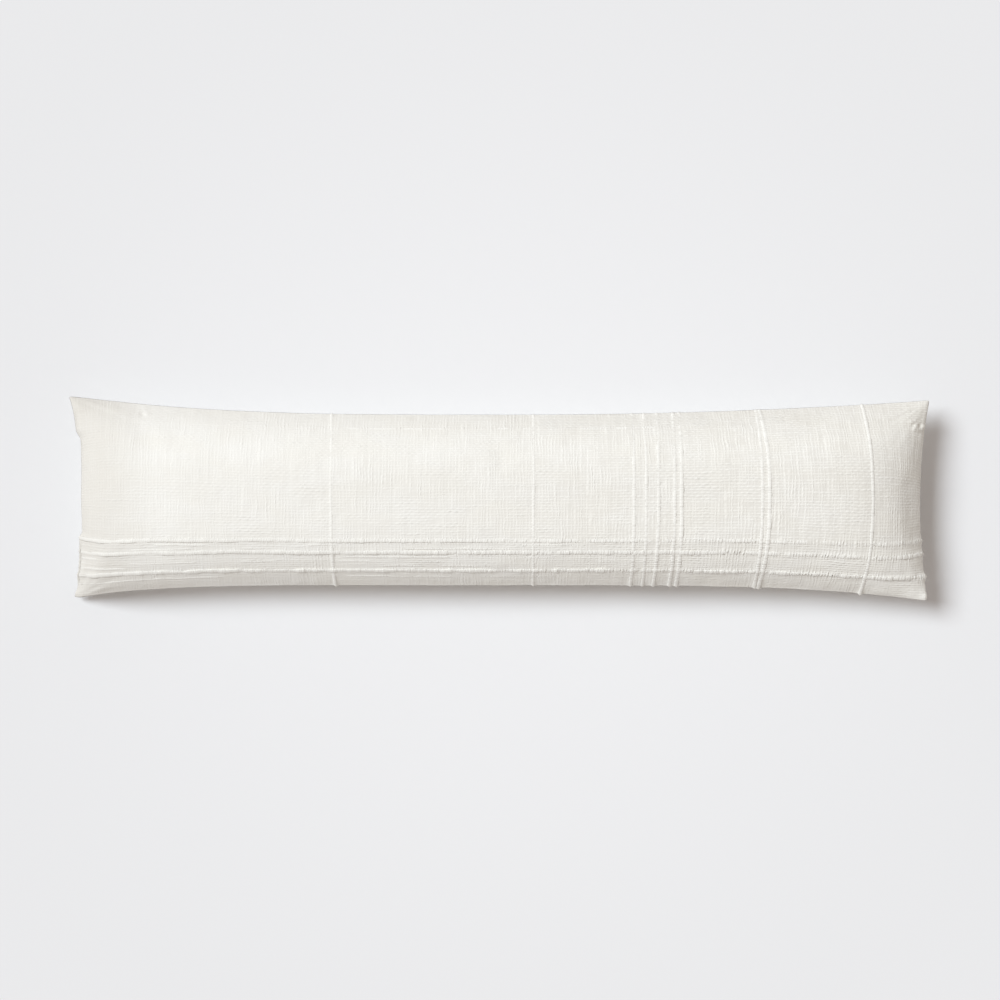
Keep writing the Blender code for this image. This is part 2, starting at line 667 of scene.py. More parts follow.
    def build(self, name: str) -> bpy.types.Material:
        """Make the material, which reads the thread-counting map.

        Args:
            name: Name of the material.

        Returns:
            The material.
        """
        g = Graph(name)
        u, v = g.map_axes(THREAD_MAP)
        crossed = g.node("ShaderNodeAttribute", {}, "Fac", attribute_name=CROSSED)
        height = self.weave(g, u, v, crossed)
        side = g.ramp(u, *(share * self.threads_long for share in self.change))
        climbing = g.math("MAXIMUM", crossed, 0.0) * side
        strong = (side * (1.0 - self.calm) + self.calm) * (climbing * self.climb_depth + 1.0)
        normal = g.bump(height * strong, self.weave_depth)
        normal = g.bump(g.patches(u, v, self.fibre), self.fibre_depth, normal)
        tint = g.ramp(g.patches(u, v, self.tint), *self.tint_edges)
        # warmer, darker tone: partly a real tint in random patches, partly painted shade growing
        # towards the right end
        colour = g.mix(side * (1.0 - self.tinted) + tint * self.tinted, self.light, self.warm_tone_and_shade)
        # painted shade: darker in the gaps of the weave, more so to the right, and over the left
        # end and far edge
        colour = g.mix(self.painted_gap_shade(g, u, v, side, height), colour, self.gap_shade)
        return g.finished(
            colour, Normal=normal, Roughness=self.roughness,
            Sheen_Weight=self.sheen, Specular_IOR_Level=self.specular,
        )


@dataclass(frozen=True)
class YarnFinish:
    """Thick, softly twisted cotton yarn, a little whiter than the ground cloth."""

    light: Colour = (0.884, 0.869, 0.820)
    shade: Colour = (0.80, 0.775, 0.73)
    left_end_shade: Colour = (0.72, 0.695, 0.645)
    left_end_shade_span: tuple[float, float] = (-0.610, -0.500)  # where painted shade darkens it over the left end
    roughness: float = 0.95
    sheen: float = 0.15
    specular: float = 0.2
    cross_pitch: float = 0.0044   # distance between the threads that cross it
    cross_drift: float = 2.0      # how far they stray from even spacing, in crossings
    cross_depth: float = 0.00085
    drift_scale: float = 70.0     # lumps to the metre in that straying
    held_scale: float = 110.0     # and in how firmly they hold it
    held_part: float = 5.0
    held_edges: tuple[float, float] = (0.35, 0.65)
    marked: tuple[float, float] = (-0.55, 0.25)  # from where to where the pinches grow clearer
    marked_left: float = 0.25     # how clear they are at the left end
    pinch_depth: float = 0.6
    pinch_tone: float = 0.7
    fluff_scale: float = 700.0
    fluff_detail: float = 3.0
    fluff_depth: float = 0.35
    twist: float = 160.0          # turns of its two strands to the metre
    twist_depth: float = 0.06

    def build(self, name: str) -> bpy.types.Material:
        """Make the material, whose map measures metres along the yarn and turns round it.

        Args:
            name: Name of the material.

        Returns:
            The material.
        """
        g = Graph(name)
        place = g.place()
        x, (along, round_it) = g.axis(place, "X"), g.map_axes(THREAD_MAP)
        drift = g.noise(g.point(along * self.drift_scale, 0.0), 1.0)
        crossings = along / self.cross_pitch + drift * self.cross_drift
        wave = g.math("COSINE", crossings * (2.0 * math.pi)) * 0.5 + 0.5
        held = g.noise(g.point(along * self.held_scale, self.held_part), 1.0)
        held = g.ramp(held, *self.held_edges)
        clear = g.ramp(x, *self.marked) * (1.0 - self.marked_left) + self.marked_left
        pinch = wave * held * clear
        strand = g.math("SINE", (along * self.twist + round_it) * (4.0 * math.pi))
        fluff = g.noise(place, self.fluff_scale, self.fluff_detail)
        height = fluff * self.fluff_depth + strand * self.twist_depth - pinch * self.pinch_depth
        colour = g.mix(pinch * self.pinch_tone, self.light, self.shade)
        # painted shade over the left end
        colour = g.mix(1.0 - g.ramp(x, *self.left_end_shade_span), colour, self.left_end_shade)
        return g.finished(
            colour, Normal=g.bump(height, self.cross_depth), Roughness=self.roughness,
            Sheen_Weight=self.sheen, Specular_IOR_Level=self.specular,
        )


@dataclass(frozen=True)
class FloorFinish:
    """Plain pale studio floor with a painted pool of light, brighter in the middle, and faintly
    mottled.
    """

    colour: Colour = (0.835, 0.835, 0.842)
    # painted shade: the floor's tone away from the middle
    outer: Colour = (0.797, 0.797, 0.803)
    reach: tuple[float, float] = (0.1, 0.95)  # how far from the middle the painted pool of light fades to the outer tone
    mottle: float = 0.08
    mottle_scale: float = 3.0
    roughness: float = 0.9
    specular: float = 0.1

    def build(self, name: str) -> bpy.types.Material:
        """Make the material on the floor's own coordinates.

        Args:
            name: Name of the material.

        Returns:
            The material.
        """
        g = Graph(name)
        place = g.place()
        away = g.node("ShaderNodeVectorMath", {0: place}, "Value", operation="LENGTH")
        share = g.noise(place, self.mottle_scale) * self.mottle + g.ramp(away, *self.reach)
        # painted pool of light fading outwards, with a faint mottle
        colour = g.mix(share, self.colour, self.outer)
        return g.finished(colour, Roughness=self.roughness, Specular_IOR_Level=self.specular)


# --------------------
# Shape of the filled cover


@dataclass(frozen=True)
class Corner:
    """One corner of the cover, in plan."""

    inset_x: float          # how far the tip stays inside the box along X
    inset_y: float          # and along Y
    flare_power: float      # the higher, the closer to the tip the long edge keeps its flare
    round: float            # radius of the tip


@dataclass(frozen=True)
class CoverShape:
    """The smooth filled form: edges in plan, crown, and the way the threads lie over it."""

    low: Vector = field(default_factory=lambda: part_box(CUSHION_NODE)[0])
    high: Vector = field(default_factory=lambda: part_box(CUSHION_NODE)[1])
    left_far: Corner = Corner(-0.0015, 0.0, 3.2, 0.004)
    right_far: Corner = Corner(0.0, 0.006, 2.1, 0.003)
    left_near: Corner = Corner(-0.0010, 0.003, 6.0, 0.008)
    right_near: Corner = Corner(0.0015, 0.0, 3.8, 0.007)
    waist_far: float = 0.1165   # distance of either long edge from the middle, at its waist
    waist_near: float = 0.1202
    dip_left: float = 0.0128    # how far either short edge is drawn in between its tips
    dip_right: float = 0.0130
    dip_power_left: float = 4.0
    dip_power_right: float = 2.0
    seam_height: float = 0.0620
    corner_droop: float = 0.0070
    ear_droop: float = 0.043    # how much further the near left ear hangs, almost to the floor
    ear_power: float = 15.0
    ear_reach: float = 0.0062   # and how much further out its tip reaches
    end_power_left: float = 11.0       # the higher, the closer to its end the crown stays full
    end_power_right: float = 12.0
    end_fullness_left: float = 0.62    # the lower, the steeper it rises from the seam
    end_fullness_right: float = 0.85
    side_power_far: float = 2.9
    side_power_near: float = 3.9
    fullness: float = 0.85
    rest_crown: float = 0.875          # share of the crown over which the back lies on the floor
    rest_rounding: float = 1.25
    bow_left: float = 0.004            # how far the crosswise threads bow out near either end
    bow_right: float = 0.0203
    bow_power: float = 2.1
    bow_end_power: float = 12.0
    side_crowding: float = 0.45        # how far the threads crowd towards the long edges
    cloth_length: float = 1.219
    cloth_width: float = 0.305
    lip: float = 0.0016         # the edge outside the crown, where the panels are sewn
    lip_thickness: float = 0.0012
    lip_droop: float = 0.0016   # how far the lip's rim hangs below its root

    @property
    def half_length(self) -> float:
        """Half the length of the box, inside the lip."""
        return 0.5 * (self.high.x - self.low.x) - self.lip

    @property
    def half_width(self) -> float:
        """Half the width of the box, inside the lip."""
        return 0.5 * (self.high.y - self.low.y) - self.lip

    @property
    def rise(self) -> float:
        """Height of the crown over the seam."""
        return self.high.z - self.low.z - self.seam_height

    def long_edge(self, along: Array, side: int) -> Array:
        """Distance of a long edge from the middle line: waist plus flare times |along|^power.

        Args:
            along: Place along the edge.
            side: 1 for the far edge and -1 for the near one.

        Returns:
            Distances in metres.
        """
        waist = (self.waist_far if side > 0 else self.waist_near) - self.lip
        left = self.left_far if side > 0 else self.left_near
        right = self.right_far if side > 0 else self.right_near
        reach = self.half_width - np.where(along > 0, right.inset_y, left.inset_y)
        power = np.where(along > 0, right.flare_power, left.flare_power)
        return waist + (reach - waist) * np.abs(along) ** power

    def tip_line(self, across: Array, end: int) -> Array:
        """Distance, from the middle, of the straight line between the two tips of an end.

        Args:
            across: Place along the line.
            end: 1 for the right end and -1 for the left one.

        Returns:
            Distances in metres.
        """
        near = self.right_near if end > 0 else self.left_near
        far = self.right_far if end > 0 else self.left_far
        inset = 0.5 * (near.inset_x * (1.0 - across) + far.inset_x * (1.0 + across))
        return self.half_length - inset

    def short_edge(self, across: Array, end: int) -> Array:
        """Distance of a short edge from the middle: the tip line, drawn in between its tips.

        Args:
            across: Place along the edge.
            end: 1 for the right edge and -1 for the left one.

        Returns:
            Distances in metres.
        """
        dip = self.dip_right if end > 0 else self.dip_left
        power = self.dip_power_right if end > 0 else self.dip_power_left
        return self.tip_line(across, end) - dip * (1.0 - np.abs(across) ** power)

    def crown(self, along: Array, across: Array) -> Array:
        """Share of the full crown: (1 - |along|^p)^f times (1 - |across|^q)^g.

        Args:
            along: Place between the short edges.
            across: Place between the long edges.

        Returns:
            Shares from 0 to 1.
        """
        late = np.where(along > 0, self.end_power_right, self.end_power_left)
        full = np.where(along > 0, self.end_fullness_right, self.end_fullness_left)
        lengthwise = np.clip(1.0 - np.abs(along) ** late, 0.0, 1.0)
        power = np.where(across > 0, self.side_power_far, self.side_power_near)
        crosswise = np.clip(1.0 - np.abs(across) ** power, 0.0, 1.0)
        return lengthwise**full * crosswise**self.fullness

    def bow(self, along: Array) -> Array:
        """How far a crosswise thread bows out at mid-width, against its two ends at the seams.

        Args:
            along: Place of the thread along the cloth.

        Returns:
            Distances in metres, above 0 towards the right.
        """
        size = np.abs(along)
        reach = np.where(along > 0, self.bow_right, self.bow_left)
        dip = np.where(along > 0, self.dip_right, self.dip_left)
        bow = reach * size**self.bow_power - (reach + dip) * size**self.bow_end_power
        return np.sign(along) * bow

    def inside(self, place: Array, length: float) -> tuple[Array, Array]:
        """Split a place on the cloth into its place inside the lip and its share of the lip.

        Args:
            place: Places in -1..1.
            length: Length of the cloth in that direction.

        Returns:
            The place inside the lip, in -1..1, and 0 to 1 outwards through the lip, signed.
        """
        edge = 1.0 - 2.0 * self.lip / length
        inner = np.clip(place / edge, -1.0, 1.0)
        outer = np.clip((np.abs(place) - edge) / (1.0 - edge), 0.0, 1.0)
        return inner, np.sign(place) * outer

    def place(self, along: Array, across: Array, face: Face) -> Array:
        """Point of the smooth cover for each place on the cloth.

        The threads crowd towards the long edges as the cover turns down, and the crosswise
        ones bow. From the point's place in plan between the four edges comes its height:
        seam height plus the crown in front, and behind, the seam height falling to rest.
        The lip stands out round the outside and hangs a little.

        Args:
            along: Place along the cloth, in -1..1.
            across: Place across the cloth, in -1..1.
            face: Which side of the cover.

        Returns:
            Points, with x, y and z on the last axis.
        """
        along, across = np.broadcast_arrays(np.asarray(along, float), np.asarray(across, float))
        a, lip_x = self.inside(along, self.cloth_length)
        b, lip_y = self.inside(across, self.cloth_width)
        share = self.side_crowding * np.clip(1.0 - np.abs(a) ** self.end_power_right, 0.0, 1.0)
        t = (1.0 - share) * b + share * np.sin(0.5 * math.pi * b)
        left, right = -self.short_edge(t, -1), self.short_edge(t, 1)
        x = 0.5 * (-self.tip_line(t, -1) * (1.0 - a) + self.tip_line(t, 1) * (1.0 + a))
        x = np.clip(x + self.bow(a) * (1.0 - t * t), left, right)
        s = np.clip(2.0 * (x - left) / (right - left) - 1.0, -1.0, 1.0)
        y = 0.5 * (-self.long_edge(s, -1) * (1.0 - t) + self.long_edge(s, 1) * (1.0 + t))
        seam = self.seam_height - self.corner_droop * (s * t) ** 2
        ear = np.clip(-s, 0.0, 1.0) ** self.ear_power * np.clip(-t, 0.0, 1.0) ** 2
        seam = seam - self.ear_droop * ear
        crown = self.crown(s, t)
        out = np.maximum(np.abs(lip_x), np.abs(lip_y))
        half_lip = 0.5 * self.lip_thickness * (1.0 - out**3)
        seam = seam - self.lip_droop * out
        if face is Face.FRONT:
            z = seam + half_lip + (self.rise - 0.5 * self.lip_thickness) * crown
        else:
            rest = np.clip(1.0 - crown / self.rest_crown, 0.0, 1.0) ** self.rest_rounding
            z = (seam - half_lip) * rest
        x, y = self.rounded(x + self.lip * lip_x, y + self.lip * lip_y)
        x = x - self.ear_reach * ear**4
        return np.stack([x, y, z], axis=-1)

    def rounded(self, x: Array, y: Array) -> tuple[Array, Array]:
        """Round the four tips: the last square of each corner is drawn to a quarter circle.

        From the circle's middle, a point as far out as the square's side goes to the
        circle's rim: its distance becomes the larger of its two distances one way.

        Args:
            x: Places along X.
            y: Places along Y.

        Returns:
            The moved places.
        """
        for tip, sx, sy in (
            (self.left_far, -1, 1), (self.right_far, 1, 1),
            (self.left_near, -1, -1), (self.right_near, 1, -1),
        ):
            middle_x = self.half_length + self.lip - tip.inset_x - tip.round
            middle_y = self.half_width + self.lip - tip.inset_y - tip.round
            u, v = np.maximum(sx * x - middle_x, 0.0), np.maximum(sy * y - middle_y, 0.0)
            scale = np.maximum(u, v) / np.maximum(np.hypot(u, v), TINY)
            inside = (u > 0) & (v > 0)
            x = np.where(inside, sx * (middle_x + u * scale), x)
            y = np.where(inside, sy * (middle_y + v * scale), y)
        return x, y

    def along_at(self, x: float) -> float:
        """Place along the cloth of the crosswise thread whose middle lies at x."""
        return float(np.interp(x, self.place(LINE, 0.0, Face.FRONT)[:, 0], LINE))

    def across_at(self, y: float) -> float:
        """Place across the cloth of the lengthwise thread whose middle lies at y."""
        return float(np.interp(y, self.place(0.0, LINE, Face.FRONT)[:, 1], LINE))


@dataclass(frozen=True)
class Settling:
    """Cloth simulation that lets a slightly long cover billow from its seams over its filling.

    What it moves is capped and averaged.
    """

    columns: int = 240
    rows: int = 60
    frames: int = 20
    quality: int = 6
    mass: float = 0.1
    air_damping: float = 4.0
    damping: float = 15.0
    spare: float = 0.008        # how much longer the cloth is than the smooth form
    pressure: float = 1.0
    most: float = 0.0016        # no point moves further than this
    calmed: int = 10            # how many times each point is averaged with its neighbours
    stiffness: float = 40.0
    shear: float = 0.2          # stiffness against shearing, against that
    bending: float = 0.3
    bending_damping: float = 1.0

    def settle(self, shape: CoverShape) -> dict[Face, Array]:
        """Run the simulation on a coarse copy of the cover, with its seam held.

        Each step is capped: most times the hyperbolic tangent of its length over most.

        Args:
            shape: The smooth filled form.

        Returns:
            How far each point of an even grid moves, for either side of the cover.
        """
        along = np.linspace(-1.0, 1.0, self.columns + 1)[:, None]
        across = np.linspace(-1.0, 1.0, self.rows + 1)[None, :]
        front, back = (shape.place(along, across, face) for face in Face)
        index, points, count = shared_edge_grid(front, back, 1)
        behind = grid_quads(index[Face.BACK])[:, ::-1]
        faces = grid_quads(index[Face.FRONT]).tolist() + behind.tolist()
        piece = new_mesh_object("settling_cover", points, faces)
        held = piece.vertex_groups.new(name="seam")
        seam = np.unique(np.concatenate(border(index[Face.FRONT])))
        held.add(seam.tolist(), 1.0, "REPLACE")
        self.simulate(piece)
        moved = np.empty(count * 3)
        piece.data.vertices.foreach_get("co", moved)
        step = moved.reshape(-1, 3) - points
        size = np.linalg.norm(step, axis=1, keepdims=True)
        step *= self.most * np.tanh(size / self.most) / np.maximum(size, TINY)
        bpy.data.objects.remove(piece)
        return {face: self.averaged(step[index[face]]) for face in Face}

    def averaged(self, grid: Array) -> Array:
        """Mix each inner point of a grid half and half with its four neighbours, repeatedly.

        Args:
            grid: Grid of points, whose edge stays.

        Returns:
            The calmer grid.
        """
        grid = grid.copy()
        for _ in range(self.calmed):
            around = grid[:-2, 1:-1] + grid[2:, 1:-1] + grid[1:-1, :-2] + grid[1:-1, 2:]
            grid[1:-1, 1:-1] = 0.5 * grid[1:-1, 1:-1] + 0.125 * around
        return grid

    def simulate(self, piece: bpy.types.Object) -> None:
        """Inflate a piece whose seam group is held, then apply the result to its mesh.

        Args:
            piece: The coarse cover.
        """
        cloth = piece.modifiers.new("filling", "CLOTH")
        settings = cloth.settings
        settings.quality = self.quality
        settings.mass = self.mass
        settings.air_damping = self.air_damping
        for pull, share in (("tension", 1.0), ("compression", 1.0), ("shear", self.shear)):
            setattr(settings, f"{pull}_stiffness", share * self.stiffness)
            setattr(settings, f"{pull}_damping", self.damping)
        settings.bending_stiffness = self.bending
        settings.bending_damping = self.bending_damping
        settings.shrink_min = -self.spare
        settings.vertex_group_mass = "seam"
        settings.use_pressure = True
        settings.uniform_pressure_force = self.pressure
        settings.effector_weights.gravity = 0.0
        cloth.collision_settings.use_collision = False
        cloth.point_cache.frame_start = 1
        cloth.point_cache.frame_end = self.frames
        for frame_number in range(1, self.frames + 1):
            bpy.context.scene.frame_set(frame_number)
        depsgraph = bpy.context.evaluated_depsgraph_get()
        result = bpy.data.meshes.new_from_object(piece.evaluated_get(depsgraph))
        piece.modifiers.clear()
        old = piece.data
        piece.data = result
        bpy.data.meshes.remove(old)
        bpy.context.scene.frame_set(1)


def border(index: Array) -> tuple[Array, Array, Array, Array]:
    """The four edges of a grid of vertex numbers: near, far, left and right."""
    return index[:, 0], index[:, -1], index[0], index[-1]


def shared_edge_grid(front: Array, back: Array, skip: int) -> tuple[dict[Face, Array], Array, int]:
    """Number the points of two grids that share their edge, the second one coarser by skip.

    Args:
        front: Points of the front grid.
        back: Points of the back grid, whose edge lies on every skip-th point of the front's.
        skip: How many front cells meet one back cell along the edge.

    Returns:
        The vertex numbers of either grid, all points as rows, and how many there are.
    """
    first = np.arange(front.shape[0] * front.shape[1]).reshape(front.shape[:2])
    second = first[::skip, ::skip].copy()
    inner = second[1:-1, 1:-1]
    second[1:-1, 1:-1] = first.size + np.arange(inner.size).reshape(inner.shape)
    points = np.concatenate([front.reshape(-1, 3), back[1:-1, 1:-1].reshape(-1, 3)])
    return {Face.FRONT: first, Face.BACK: second}, points, len(points)


# --------------------
# Raised yarns


@dataclass(frozen=True)
class Spinning:
    """How unevenly the thick yarns are spun and woven in. Lengths and places are in metres."""

    wave: float = 0.035         # length of the broadest waves in a yarn's line
    looser: float = 0.8         # how much further a lengthwise one wavers at the left end
    looser_between: tuple[float, float] = (-0.25, -0.45)
    pinches: float = 0.45       # how many times it is pinched for each thread that crosses it
    drift: float = 4.5          # how far the pinches stray from even spacing, in radians
    drift_length: float = 0.024
    depth: float = 0.55         # how deep the pinches usually are
    depth_uneven: float = 0.45
    depth_length: float = 0.016
    depth_left: float = 0.25    # share of that depth at a lengthwise yarn's left end
    depth_between: tuple[float, float] = (-0.60, 0.30)
    swelling: float = 0.24      # how much it swells and thins
    swell_length: float = 0.014
    usual: float = 0.66         # how much of its height usually stands out of the cloth
    slow_change: float = 0.22
    slow_length: float = 0.050
    quick_length: float = 0.013
    long_sink: tuple[float, float] = (-0.10, 0.50)    # over which places a lengthwise one sinks in
    cross_sink: tuple[float, float] = (0.015, 0.115)  # and a crosswise one
    broken_sink: tuple[float, float] = (-0.13, 0.37)  # and a broken one
    broken_lost: float = 0.7    # how much of a broken one's ridge is lost there
    near_lift: float = 0.13     # how much prouder a crosswise one stands at the near side
    near_between: tuple[float, float] = (-0.040, -0.090)
    dip_soft: float = 0.25      # how gently a broken one goes under


SPINNING = Spinning()


@dataclass(frozen=True)
class RaisedYarn:
    """One thick yarn woven in and standing proud of the ground cloth."""

    name: str
    run: Run
    at: float                   # where its middle lies, in metres from the pillow's middle
    thick: float                # its usual width
    lean_start: float = 0.0     # how far it leans away at its first end (near or left)
    lean_end: float = 0.0       # and at its last end (far or right)
    start: float = -1.0         # the share of the cloth that it spans
    end: float = 1.0
    beads: float = 0.16         # how strongly the crossing threads pinch it
    height: float = 1.0         # how high it stands, against the usual
    waver: float = 0.0007       # how far it wanders from its line
    broken: float = 0.0         # how much of it dips under the ground cloth
    hidden: float = 0.0         # how much lower it lies at the right or far end

    @property
    def seed(self) -> int:
        """Seed of the yarn's own unevenness, from its place."""
        return 100 + round(1e4 * abs(self.at))

    @property
    def lengthwise(self) -> bool:
        """Whether it runs from the left end to the right one."""
        return self.run is Run.LENGTHWISE

    def beside(self, run: Array) -> Array:
        """Sideways distance of the yarn from its line: its waver times three layers of noise.

        Args:
            run: Distances along the yarn from its middle.

        Returns:
            Distances in metres.
        """
        looser = SPINNING.looser * ease(run, *SPINNING.looser_between) if self.lengthwise else 0.0
        wave = layered_noise(run / SPINNING.wave, self.seed * 1.7, self.seed)
        return self.waver * (1.0 + looser) * wave

    def beat(self, run: Array, pitch: float) -> Array:
        """Pinches of the crossing threads: a wave, uneven in its pace and its depth.

        Args:
            run: Distances along the yarn from its middle.
            pitch: Distance between the threads that cross it.

        Returns:
            0 where it is pinched hardest, to 1 between two pinches.
        """
        stray = value_noise(run / SPINNING.drift_length, self.seed * 2.3, self.seed + 5)
        phase = 2.0 * math.pi * SPINNING.pinches * run / pitch + SPINNING.drift * stray
        uneven = value_noise(run / SPINNING.depth_length, self.seed * 5.9, self.seed + 6)
        depth = SPINNING.depth + SPINNING.depth_uneven * uneven
        if self.lengthwise:
            depth = depth * between((SPINNING.depth_left, 1.0), ease(run, *SPINNING.depth_between))
        return 1.0 - depth * (0.5 + 0.5 * np.cos(phase))

    def girth(self, run: Array, pitch: float) -> Array:
        """Share of the usual girth: slow swells of the spinning times the pinches.

        Args:
            run: Distances along the yarn from its middle.
            pitch: Distance between the threads that cross it.

        Returns:
            Shares of about 0.5 to 1.3.
        """
        swell = layered_noise(run / SPINNING.swell_length, self.seed * 3.1, self.seed + 9)
        pinched = 1.0 - self.beads + self.beads * self.beat(run, pitch)
        return (1.0 + SPINNING.swelling * swell) * pinched

    def shown(self, run: Array) -> Array:
        """How much of its height stands out of the cloth.

        A whole yarn: the usual share plus a slow and a quick noise, less how far it sinks in
        towards its last end. A broken one: a smooth step of a slow noise.

        Args:
            run: Distances along the yarn from its middle.

        Returns:
            About 1 where it stands free and 0 where the ground cloth covers it.
        """
        slow = run / SPINNING.slow_length
        if self.broken:
            rise = value_noise(slow, self.seed * 4.9, self.seed + 13)
            middle = self.broken - 0.5
            return ease(rise, middle - SPINNING.dip_soft, middle + SPINNING.dip_soft)
        quick = value_noise(run / SPINNING.quick_length, self.seed * 6.1, self.seed + 14)
        share = SPINNING.usual + self.beads * quick
        change = layered_noise(slow, self.seed * 4.9, self.seed + 13, 2)
        share = share + SPINNING.slow_change * change
        if self.lengthwise:
            return share - self.hidden * ease(run, *SPINNING.long_sink)
        share = share + SPINNING.near_lift * ease(run, *SPINNING.near_between)
        return share - self.hidden * ease(run, *SPINNING.cross_sink)


CROSSWISE_YARNS = tuple(
    RaisedYarn(name, Run.CROSSWISE, at, thick, *leans, height=height, hidden=hidden)
    for name, at, thick, leans, height, hidden in (
        ("left thin yarn", -0.2332, 0.0042, (0.003, -0.003), 0.58, 0.35),
        ("middle thin yarn", 0.0443, 0.0036, (0.0, 0.0), 0.36, 0.30),
        ("band yarn 1", 0.1818, 0.0049, (-0.001, 0.0), 0.50, 0.40),
        ("band yarn 2", 0.1985, 0.0046, (-0.001, 0.0), 0.44, 0.40),
        ("band yarn 3", 0.2152, 0.0049, (-0.002, 0.002), 0.51, 0.40),
        ("band yarn 4", 0.2371, 0.0047, (-0.001, 0.003), 0.50, 0.40),
        ("band yarn 5", 0.2470, 0.0052, (-0.001, 0.002), 0.54, 0.40),
        ("pair yarn 1", 0.3572, 0.0044, (0.001, 0.002), 0.54, 0.30),
        ("pair yarn 2", 0.3672, 0.0052, (-0.003, -0.003), 0.72, 0.25),
        ("end yarn", 0.5094, 0.0042, (-0.001, 0.0), 0.88, 0.10),
    )
)

LENGTHWISE_YARNS = tuple(
    RaisedYarn(name, Run.LENGTHWISE, at, thick, height=height, **more)
    for name, at, thick, height, more in (
        ("far faint yarn", 0.0975, 0.0030, 0.35, dict(start=-0.62, end=0.42)),
        ("upper long yarn", -0.0581, 0.0050, 0.60, dict(beads=0.40, waver=0.0011, hidden=0.45)),
        ("middle long yarn", -0.0750, 0.0054, 0.72, dict(beads=0.42, waver=0.0012, hidden=0.30)),
        ("lower long yarn", -0.1000, 0.0058, 1.00, dict(beads=0.46, waver=0.0011, hidden=0.34)),
    )
)

YARNS = CROSSWISE_YARNS + LENGTHWISE_YARNS

RIBS = tuple(
    RaisedYarn(
        f"loose rib {number}", Run.LENGTHWISE, at, thick,
        beads=0.25, height=0.45, waver=0.0013, broken=0.55,
    )
    for number, (at, thick) in enumerate(
        (
            (-0.0640, 0.0030), (-0.0695, 0.0026), (-0.0815, 0.0030),
            (-0.0875, 0.0026), (-0.0935, 0.0030), (-0.1085, 0.0028),
        ),
        1,
    )
)


@dataclass(frozen=True)
class Nub:
    """A small lump or, with a height below nought, a dimple in the cloth."""

    x: float
    y: float
    width: float
    height: float


NUBS = (
    Nub(-0.4965, 0.1165, 0.0034, -0.0021),
    Nub(-0.4900, 0.1175, 0.0028, 0.0013),
    Nub(0.5670, 0.1065, 0.0022, 0.0026),
    Nub(0.5700, 0.1020, 0.0020, -0.0022),
    Nub(0.5715, 0.0965, 0.0024, 0.0034),
    Nub(0.5745, 0.1005, 0.0022, 0.0030),
    Nub(0.5775, 0.0955, 0.0024, 0.0038),
    Nub(0.5795, 0.1010, 0.0020, -0.0026),
    Nub(0.5825, 0.0965, 0.0023, 0.0034),
    Nub(0.5865, 0.1000, 0.0023, 0.0030),
    Nub(0.5885, 0.0935, 0.0020, -0.0022),
    Nub(0.5885, -0.1360, 0.0035, 0.0014),
    Nub(0.3830, -0.0560, 0.0024, 0.0010),
    Nub(0.2200, -0.0320, 0.0018, -0.0011),
    Nub(0.2200, 0.0210, 0.0018, -0.0011),
)


# --------------------
# The cover


@dataclass(frozen=True)
class Lumps:
    """A layered noise over the cloth: the size of its lumps either way, and its seed."""

    along: float
    across: float
    seed: int
    layers: int = 2

    def at(self, p: Array, q: Array) -> Array:
        """Values of about -1 to 1 at distances along and across the cloth from its middle."""
        return layered_noise(p / self.along, q / self.across, self.seed, self.layers)


